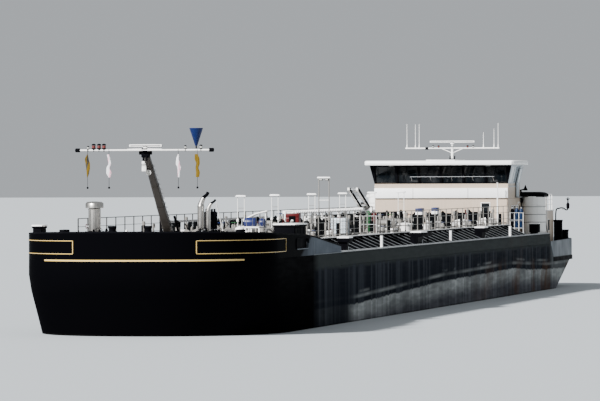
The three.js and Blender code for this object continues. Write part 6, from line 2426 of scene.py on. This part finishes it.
@dataclass
class Wheelhouse:
    """The cabin with its raked window band, glass, sliding doors, helm and roof."""

    front: float = 8830
    rear: float = 9330
    half: float = HOUSE_HALF
    floor: float = 772.3
    sill: float = 862
    head: float = 975
    flare_out: float = 26
    wall: float = 10
    beyond: float = 480
    window: Pair = (868, 966)
    glass: Pair = (864, 970)
    posts: tuple[float, ...] = (-HOUSE_HALF, -276, -138, 0, 138, 276, HOUSE_HALF)
    side_windows: tuple[Pair, ...] = ((8870, 8985), (9000, 9108))

    def flare(self, up: float) -> float:
        """Give how far the walls lean out at a height."""
        return self.flare_out * max(0.0, (up - self.sill) / (self.head - self.sill))

    def ring(self, up: float, inset: float = 0.0) -> list[Spot]:
        """Give the cabin's outline at a height."""
        out = self.flare(up)
        a, b, c = self.front - out + inset, self.rear - inset, self.half + out - inset
        return [(b, -c, up), (a, -c, up), (a, c, up), (b, c, up)]

    def block(self, name: str, low: float, high: float, inset: float) -> Shape:
        """Make a solid block within the cabin's outline."""
        return Shape(name).loft([self.ring(up, inset) for up in (low, self.sill, high)], CREAM)

    def cutters(self) -> list[Shape]:
        """Make the room and every opening."""
        (low, high), beyond, front = self.window, self.beyond, self.front
        holes = [((self.rear - 20, -300, low), (self.rear + 20, 300, high))]
        for start, end in zip(self.posts, self.posts[1:]):
            holes.append(((front - 60, start + 7, low), (front + 30, end - 7, high)))
        for start, end in self.side_windows:
            holes.append(((start, -beyond, low), (end, beyond, high)))
        holes.append(((9136, -beyond, 788), (9216, beyond, 954)))
        room = self.block("room", self.floor + 12, self.head + 1, self.wall)
        return [room, *(Shape("hole").box(*hole, CREAM) for hole in holes)]

    def add_trim(self, cabin: Shape) -> None:
        """Add the bright band, the doors' tracks, the hand rail and the wipers."""
        front, half, low, high = self.front, self.half, 774, 835
        cabin.box((front - 13, -half, low), (front + 2, half, high), BRIGHT, 3, 2)
        for port in (-173, 168):
            cabin.box((front - 13.6, port - 1, low + 2), (front - 12, port + 1, high - 2), KNEE_DARK)
        for side in SIDES:
            y = side * half
            cabin.box((front + 2, y - side, 842), (self.rear, y + side * 3, 848), CABIN_GREY, 1)
            cabin.box((9124, y - side * 2, 774), (9326, y + side * 18, 779.7), GALVANISED, 0.6)
        rail, rail_up, wiper_up = front - 42, 905, 962
        cabin.tube([(rail, port, rail_up) for port in (-186, 70, 333)], 1.3, GALVANISED)
        for port in (-180, -60, 70, 200, 327):
            lean = self.flare(rail_up)
            cabin.tube([(front - lean + 1, port, 880), (rail, port, rail_up)], 0.9, GALVANISED, 8)
        foot, arm = front - self.flare(960), front - self.flare(890) - 4
        for port in (-207, -69, 69, 207, 345):
            cabin.turned((foot, port, wiper_up), [(5, 0), (5, 5)], BLACK, 12, (-1, 0, 0))
            cabin.tube([(foot - 3, port, wiper_up), (arm, port - 26, 892)], 1.2, BLACK, 6)
            cabin.tube([(arm + 1, port - 30, 920), (arm + 2, port - 22, 872)], 1.5, BLACK, 6)

    def build_cabin(self) -> None:
        """Build the walls with their openings and trim."""
        cabin = self.block("wheelhouse_cabin", self.floor, self.head, 0).without(self.cutters())
        front, beyond, top = self.front, self.beyond, self.head + 1
        cabin.repaint(BLACK, (front - 60, -beyond, self.sill + 1), (front + 12, beyond, top))
        for side in SIDES:
            cabin.repaint(CABIN_GREY, (front + 12, side * 400, self.sill - 2), (self.rear + 5, side * beyond, top))
        self.add_trim(cabin)
        cabin.finish_off(Slot.HOUSE, "wheelhouse")

    def pane(self, shape: Shape, start: Pair, end: Pair, out: Pair, glass: Finish) -> None:
        """Add one leaning pane.

        Args:
            shape: The piece.
            start: One lower corner, as distance aft and to port, on the wall's line at the sill.
            end: The other one.
            out: The wall's outward direction, aft and to port.
            glass: The glass.
        """
        rings = []
        for up in self.glass:
            ring = []
            for (aft, port), thick in ((start, 0), (end, 0), (end, 3), (start, 3)):
                reach = self.flare(up) - thick
                ring.append((aft + out[0] * reach, port + out[1] * reach, up))
            rings.append(ring)
        shape.loft(rings, glass)

    def build_glass(self) -> None:
        """Build the front and side panes as one piece and the rear pane as another."""
        inset = self.wall + 0.3
        front = Shape("wheelhouse_panes_front")
        x, y = self.front + inset, self.half - inset
        for start, end in zip(self.posts, self.posts[1:]):
            self.pane(front, (x, max(-y, start + 3)), (x, min(y, end - 3)), (-1, 0), WINDOW)
        for side in SIDES:
            y = side * (self.half - 1.5)
            for start, end in self.side_windows:
                self.pane(front, (start, y), (end, y), (0, side), SIDE_PANE_SKY_REFLECTION)
        front.finish_off(Slot.GLASS, "wheelhouse_glass_front")
        rear = Shape("wheelhouse_pane_rear")
        back, (low, high) = self.rear - inset, self.glass
        for near, far in ((-304, -2), (2, 304)):
            rear.box((back - 3, near, low), (back, far, high), WINDOW, 0.5)
        rear.finish_off(Slot.GLASS, "wheelhouse_glass_rear")

    def add_leaf(self, door: Shape, ends: Pair, heights: Sequence[float], depths: Pair, finish: Finish) -> None:
        """Add a flat slab of the door, leaning with the wall.

        Args:
            door: The piece.
            ends: Its forward and its after edge.
            heights: The levels that it passes, from its foot up.
            depths: Its inner and its outer face.
            finish: What it's made of.
        """
        (start, end), rings = ends, []
        for up in heights:
            near, far = (self.half + 5 + self.flare(up) + depth for depth in depths)
            rings.append([(end, near, up), (start, near, up), (start, far, up), (end, far, up)])
        door.loft(rings, finish)

    def make_door(self) -> Shape:
        """Make the port sliding door: a bent leaf with a pane, a frame, a grip and rollers."""
        door = Shape("sliding_door")
        self.add_leaf(door, (9130, 9222), (780, self.sill, 962), (0, 7), CABIN_GREY)
        self.add_leaf(door, (9142, 9210), (872, 950), (6, 7.6), SIDE_PANE_SKY_REFLECTION)
        for heights in ((866, 871), (951, 956)):
            self.add_leaf(door, (9138, 9214), heights, (6, 8), CABIN_GREY)
        for ends in ((9138, 9142), (9210, 9214)):
            self.add_leaf(door, ends, (866, 956), (6, 8), CABIN_GREY)
        door.box((9136, self.half + 11, 826), (9141, self.half + 13, 852), GALVANISED, 0.6)
        for aft in (9144, 9208):
            door.turned((aft, self.half + 6, 786), [(3.5, 0), (3.5, 6)], GALVANISED, 14, ACROSS)
        return door

    def build_helm(self) -> None:
        """Build the console with its screens and levers, and the helmsman's chair."""
        helm = Shape("helm_console_and_chair", (0, 0, self.floor + 12 + SEAT))
        desk = [(8900, 0), (8940, 0), (8940, 60), (8928, 76), (8900, 82)]
        helm.prism(desk, Axis.PORT, (-150, 150), DARK_PLASTIC)
        for port in range(-120, 121, 60):
            helm.box((8908, port - 22, 80), (8912, port + 22, 108), DARK_PLASTIC, 1)
            helm.box((8911.5, port - 19, 84), (8912.6, port + 19, 105), WINDOW)
        for port in (-40, 40):
            helm.tube([(8930, port, 72), (8934, port, 90)], 1.6, GALVANISED, 8)
            helm.turned((8934, port, 89), [(3, 0), (4, 2), (3, 5)], BLACK, 14)
        helm.box((8930, -60, 0), (9070, 60, 6), DARK_PLASTIC, 2)
        helm.turned((9010, 0, 5), [(20, 0), (20, 3), (8, 5), (8, 34)], GALVANISED, 20)
        helm.box((8986, -22, 36), (9034, 22, 50), DARK_PLASTIC, 5, 3)
        back = []
        for rise, inset in ((0, 0), (40, 0), (60, 4), (68, 8)):
            a, b, up = 9028 + rise * 0.06, 9038 + rise * 0.06, 44 + rise
            back.append([(a, inset - 22, up), (a, 22 - inset, up), (b, 18 - inset, up), (b, inset - 18, up)])
        helm.loft(back, DARK_PLASTIC)
        for port in (-25, 25):
            helm.box((8992, port - 3, 58), (9030, port + 3, 64), DARK_PLASTIC, 2, 2)
        helm.finish_off(Slot.HELM, "helm_and_chair")

    def build_roof(self) -> None:
        """Build the roof slab with its cut front corners, raised middle and lights."""
        roof = Shape("wheelhouse_roof_slab")
        low, high, cut, rings = 975.3, 1004, 14, []
        for up, inset in ((low, 8), (low + 3, 1), (low + 7, 0), (high - 6, 0), (high - 1.5, 3), (high, 7)):
            a, b, c = 8745 + inset, 9370 - inset, 462 - inset
            corners = [(a + cut, -c), (b, -c), (b, c), (a + cut, c), (a, c - cut), (a, cut - c)]
            rings.append([(*corner, up) for corner in corners])
        roof.loft(rings, BRIGHT)
        roof.box((8805, -90, high - 2), (9220, 90, high + 5), BRIGHT, 3, 2)
        for port in (-300, 300):
            roof.box((8770, port - 18, low - 7), (8790, port + 18, low + 2), BLACK, 2)
            roof.box((8768.6, port - 15, low - 6), (8771, port + 15, low), LENS)
        roof.finish_off(Slot.HOUSE, "wheelhouse_roof")

    def build(self) -> None:
        """Build the wheelhouse's pieces."""
        self.build_cabin()
        self.build_glass()
        build_both(self.make_door, Slot.HOUSE, "wheelhouse_door", (Body.DOOR_PORT, Body.DOOR_STARBOARD))
        self.build_helm()
        self.build_roof()


@dataclass
class RoofMast:
    """The signal mast on the wheelhouse roof with its yard of aerials and its scanner."""

    aft: float = 9270
    low: float = 1004.3
    hinge: float = 1026
    yard_up: float = 1082
    half: float = 295
    whips: tuple[Pair, ...] = ((-285, 150), (-232, 148), (-208, 150), (196, 98), (262, 120), (288, 155))

    def build_foot(self) -> None:
        """Build the hinge foot."""
        foot = Shape("roof_mast_hinge", (self.aft, 0, self.low))
        up = self.hinge - self.low
        foot.box((-22, -24, 0), (22, 24, 5), BLACK, 1.5)
        cheek = [(-9, 3), (9, 3), (8, up + 6), (4, up + 9), (-4, up + 9), (-8, up + 6)]
        for side in (-14, 14):
            foot.prism(cheek, Axis.PORT, (side - 3, side + 3), BLACK)
        pin = [(5, 0), (5, 3), (3, 3.1), (3, 34.9), (5, 35), (5, 38)]
        foot.turned((0, -19, up), pin, GALVANISED, 16, ACROSS)
        add_bolts(foot, (0, 0, 4.8), 19, 6, 1.8, 2.4)
        foot.finish_off(Slot.GEAR, "roof_mast_foot")

    def build_mast(self) -> None:
        """Build the column, the yard, the aerials and the small lamps."""
        mast = Shape("roof_mast_and_yard", (self.aft, 0, self.yard_up))
        column = [(8, 0), (8, 40), (7, 42), (7, 62), (10, 63), (10, 68)]
        mast.turned((0, 0, self.hinge - self.yard_up - 8), column, WHITE)
        mast.tube([(0, port, 0) for port in (-self.half, -150, 0, 150, self.half)], 4, WHITE, 12)
        for side in SIDES:
            mast.tube([(0, side * 6, -28), (0, side * 70, -1)], 2, WHITE, 8)
        for port, height in self.whips:
            whip = [(5, -4), (5, 6), (3, 8), (3, 20), (1.6, 22), (1.1, height)]
            mast.turned((0, port, 0), whip, RIM, 10)
        for port, lens in ((-120, LENS), (-86, LAMP_RED), (96, LAMP_RED), (132, LENS)):
            add_lamp(mast, (0, port, 2), 7, 16, lens)
        mast.box((-5, -170, -9), (5, -150, 6), BLACK, 1.5)
        mast.finish_off(Slot.RAIL, "roof_mast", body=Body.ROOF_MAST)

    def build(self) -> None:
        """Build the mast's pieces."""
        self.build_foot()
        self.build_mast()
        Scanner("roof", self.aft, self.yard_up + 26.3, 140, 14, Body.ROOF_SCANNER).build()


# Stern


@dataclass
class Propeller:
    """A cast four-bladed propeller with twisted, rounded blades."""

    aft: float = 10205
    up: float = 92
    radius: float = 74
    blades: int = 4
    hub_start: float = -84.7
    hub: tuple[Pair, ...] = ((14, 0), (16, 2), (17, 80), (16, 100), (12, 125), (9, 140.7), (5, 144.7))

    def add_blade(self, shape: Shape, a: float, b: float) -> None:
        """Add one blade as a skin through turned sections, the cosine and the sine of its turn given."""
        rings = []
        for share in spread(0, 1, 9):
            out = mix_numbers(8, self.radius - 0.5, share)
            chord = 52 * math.sin(math.pi * (0.24 + 0.7 * share)) + 2
            pitch = math.atan2(24, out) + 0.15
            ring = []
            for wide, deep in circle(12, 1):
                across, thick = chord / 2 * wide, mix_numbers(3.6, 0.8, share) * deep
                aft = across * math.sin(pitch) + thick * math.cos(pitch)
                side = across * math.cos(pitch) - thick * math.sin(pitch) + 3 * share
                ring.append((aft, side * a - out * b, side * b + out * a))
            rings.append(ring)
        shape.loft(rings, BRONZE)

    def build(self) -> None:
        """Build the hub and the blades as one piece."""
        shape = Shape("bronze_propeller", (self.aft, 0, self.up))
        shape.turned((self.hub_start, 0, 0), self.hub, BRONZE, 28, LENGTHWISE)
        for turn in circle(self.blades, 1):
            self.add_blade(shape, *turn)
        shape.finish_off(Slot.BRONZE, "propeller", body=Body.PROPELLER)


@dataclass
class Rudder:
    """One rudder: a foil blade between end plates, on its stock."""

    hand: Hand
    body: Body
    aft: float = 10420
    port: float = 52
    chord: float = 130
    low: float = 14
    high: float = 160
    half: float = 8
    stock: float = 7
    stock_top: float = 214

    def section(self, up: float, grow: float) -> list[Spot]:
        """Give the foil's section at a height, grown on both sides."""
        ring = []
        for a, b in circle(24, 1):
            share = (1 - a) / 2
            thick = 2.2932 * self.half * (math.sqrt(share) - share) + grow
            ring.append((self.chord * (share - 0.33), math.copysign(max(0.0, thick), b), up))
        return ring

    def build(self) -> None:
        """Build the rudder of this side."""
        shape = Shape(f"rudder_blade_{self.hand.word}", (self.aft, self.hand.value * self.port, 0))
        low, high, half, stock = self.low, self.high, self.half, self.stock
        levels = ((low, -0.6), (low + 1.5, 0), (high - 1.5, 0), (high, -0.6))
        shape.loft([self.section(*level) for level in levels], SHELL)
        for up in (low, high - 3):
            shape.box((2 - 0.33 * self.chord, -half, up), (0.67 * self.chord, half, up + 3), SHELL, 1)
        profile = [(11, 0), (11, 10), (stock, 12), (stock, self.stock_top - high + 4)]
        shape.turned((0, 0, high - 4), profile, GALVANISED)
        shape.finish_off(Slot.HULL, f"rudder_{self.hand.word}", body=self.body)


@dataclass
class SternBlocks:
    """The tall and the low mooring block on each quarter, on one plate."""

    plate: tuple[float, ...] = (10455, 10648, 463, 538, 5)
    blocks: tuple[tuple[float, ...], ...] = ((10458, 10514, 466, 520, 224), (10562, 10645, 472, 541, 160))

    def make(self) -> Shape:
        """Make the port pair."""
        shape = Shape("quarter_mooring_blocks", (0, 0, ON_AFT_DECK))
        a, b, c, d, top = self.plate
        shape.box((a, c, 0), (b, d, top), BLACK, 1)
        for a, b, c, d, top in self.blocks:
            shape.box((a + 2, c + 2, 3), (b - 2, d - 2, top - 8), BLACK, 2, 2)
            shape.box((a, c, top - 12), (b, d, top), BLACK, 2.5, 2)
            shape.box((a, c, 3), (b, d, 12), BLACK, 1)
            for up in (top * 0.36, top * 0.62):
                shape.box((a + 1, c + 1, up), (b - 1, d - 1, up + 3), KNEE_DARK, 1)
        return shape

    def build(self) -> None:
        """Build both pairs."""
        build_both(self.make, Slot.GEAR, "stern_gear")


@dataclass
class Davit:
    """The small davit on the port quarter, its arm bent out and up to a fork."""

    aft: float = 10425
    port: float = 486
    arm: tuple[Pair, ...] = ((0, 0), (0, 150), (2, 280), (22, 298), (48, 300), (68, 288), (79, 300), (79, 368))

    def build(self) -> None:
        """Build the davit as one piece."""
        shape = Shape("quarter_davit", (self.aft, self.port, ON_AFT_DECK))
        shape.turned(CENTRE, [(12, 0), (12, 5), (7, 6), (7, 40), (4.4, 42)], BLACK, 20)
        shape.tube(smooth_line([(0, out, up) for out, up in self.arm], 5), 4, BLACK, 14)
        out, up = self.arm[-1]
        shape.turned((0, out, up - 74), [(4, 0), (10, 5), (11, 30), (7, 38), (4, 42)], BLACK, 16)
        for shift in (-12, 0, 12):
            shape.tube([(0, out, up - 20), (0, out + shift, up - abs(shift) / 2)], [2.6, 1.6], BLACK, 8)
        shape.ring((0, 48, 294), 5, 1.2, GALVANISED, LENGTHWISE, 14)
        shape.finish_off(Slot.GEAR, "stern_davit", body=Body.DAVIT)


# The studio


@dataclass
class Studio:
    """A pale floor at the waterline, a pale room and soft lights."""

    waterline: float = 0.2
    floor_half: float = 120
    floor_color: Color = (0.44, 0.47, 0.49)
    room_color: Color = (0.72, 0.76, 0.8)
    room_strength: float = 0.62
    key_strength: float = 11
    key_way: Spot = (-14, 9, -11)
    key_spread: float = math.radians(5)

    def build_floor(self) -> None:
        """Lay the floor."""
        data = bpy.data.meshes.new("floor")
        h, z = self.floor_half, self.waterline
        data.from_pydata([(-h, -h, z), (h, -h, z), (h, h, z), (-h, h, z)], [], [(0, 1, 2, 3)])
        floor = bpy.data.objects.new("floor", data)
        bpy.context.scene.collection.objects.link(floor)
        graph = Graph("studio floor")
        graph.set(Base_Color=(*self.floor_color, 1), Roughness=0.7)
        data.materials.append(graph.material)

    def build(self) -> None:
        """Build the room."""
        self.build_floor()
        world = bpy.data.worlds.new("pale room")
        world.use_nodes = True
        background = world.node_tree.nodes["Background"]
        background.inputs["Color"].default_value = (*self.room_color, 1)
        background.inputs["Strength"].default_value = self.room_strength
        bpy.context.scene.world = world
        key = bpy.data.lights.new("key", "SUN")
        key.energy, key.angle = self.key_strength, self.key_spread
        lamp = bpy.data.objects.new("key", key)
        lamp.rotation_euler = Vector(self.key_way).to_track_quat("-Z", "Y").to_euler()
        bpy.context.scene.collection.objects.link(lamp)


@dataclass
class PhotoCamera:
    """The camera at the photograph's place."""

    spot: Spot = (28.17, 5.086, 0.941)
    level_way: Pair = (-0.98253, -0.18611)
    down: float = 0.0056
    roll: float = 0.0035
    lens: float = 312.2
    sensor: float = 36
    sight: float = 400

    def build(self) -> None:
        """Set up the camera and make it the scene's own."""
        data = bpy.data.cameras.new("photo_camera")
        data.lens, data.sensor_width, data.clip_end = self.lens, self.sensor, self.sight
        camera = bpy.data.objects.new("photo_camera", data)
        x, y = self.level_way
        way = Vector((x * math.cos(self.down), y * math.cos(self.down), -math.sin(self.down)))
        turned = way.to_track_quat("-Z", "Y") @ Quaternion((0, 0, 1), -self.roll)
        camera.location, camera.rotation_mode, camera.rotation_quaternion = self.spot, "QUATERNION", turned
        bpy.context.scene.collection.objects.link(camera)
        bpy.context.scene.camera = camera


def parts() -> list:
    """List the sub-assemblies in the order in which they are built."""
    return [
        Hull(),
        BowBulwark(),
        SternBulwark(),
        ForeDeck(),
        Trunk(),
        SideDeck(),
        TrunkRail(Hand.PORT, range(2052, 8785, 198), PIPE),
        TrunkRail(Hand.STARBOARD, range(864, 8785, 198), SPAR),
        MooringBlock(Hand.PORT, 1200, 1490, 440, 538, 87),
        MooringBlock(Hand.STARBOARD, 410, 505, 486, 526, 91),
        BowVent(),
        Exhausts(),
        Windlass(),
        Foremast(),
        CargoPiping(),
        DeckFittings(),
        VentLine(),
        Catwalk(),
        HoseCrane(),
        LampFrame(),
        BottleRack("drums_midship", Slot.DRUM_MIXED, (
            Bottle(4155, 342, 14, 126, BLACK),
            Bottle(4145, 372, 13, 128, DRUM_GREEN),
            Bottle(4150, 402, 11, 124, FIRE_RED),
        ), deck=UPPER_DECK, floor=6),
        WaterTank(),
        BottleRack("barrels_aft", Slot.DRUM_BLUE, (
            Bottle(8800, 446, 12, 128, BLACK), Bottle(8800, 473, 12, 130, NAVY), Bottle(8800, 500, 12, 128, NAVY),
        ), deck=SIDE_DECK_TOP, floor=44, guards=True),
        LyingTanks(),
        Locker("red_hose_box", "hose_box_red", 2380, 2440, 268, 335, 126, FIRE_RED, FIRE_RED, Slot.RED, BLACK),
        LiquidTote(),
        Locker("midship_locker", "locker_midship", 6440, 6520, 236, 276, 120, WHITE, BLUE_DRUM, Slot.HOUSE),
        Locker("aft_locker", "locker_aft", 6980, 7060, 240, 276, 120, WHITE, BLUE_DRUM, Slot.HOUSE),
        Deckhouse(),
        SideCasing(),
        Wheelhouse(),
        RoofMast(),
        Propeller(),
        Rudder(Hand.PORT, Body.RUDDER_PORT),
        Rudder(Hand.STARBOARD, Body.RUDDER_STARBOARD),
        SternBlocks(),
        Davit(),
        Studio(),
        PhotoCamera(),
    ]


def main() -> None:
    """Build the barge, the studio and the camera."""
    logging.basicConfig(level=logging.INFO, format="%(name)s: %(message)s")
    for part in parts():
        part.build()
        LOG.info("%s done", type(part).__name__)


if __name__ == "__main__":
    main()
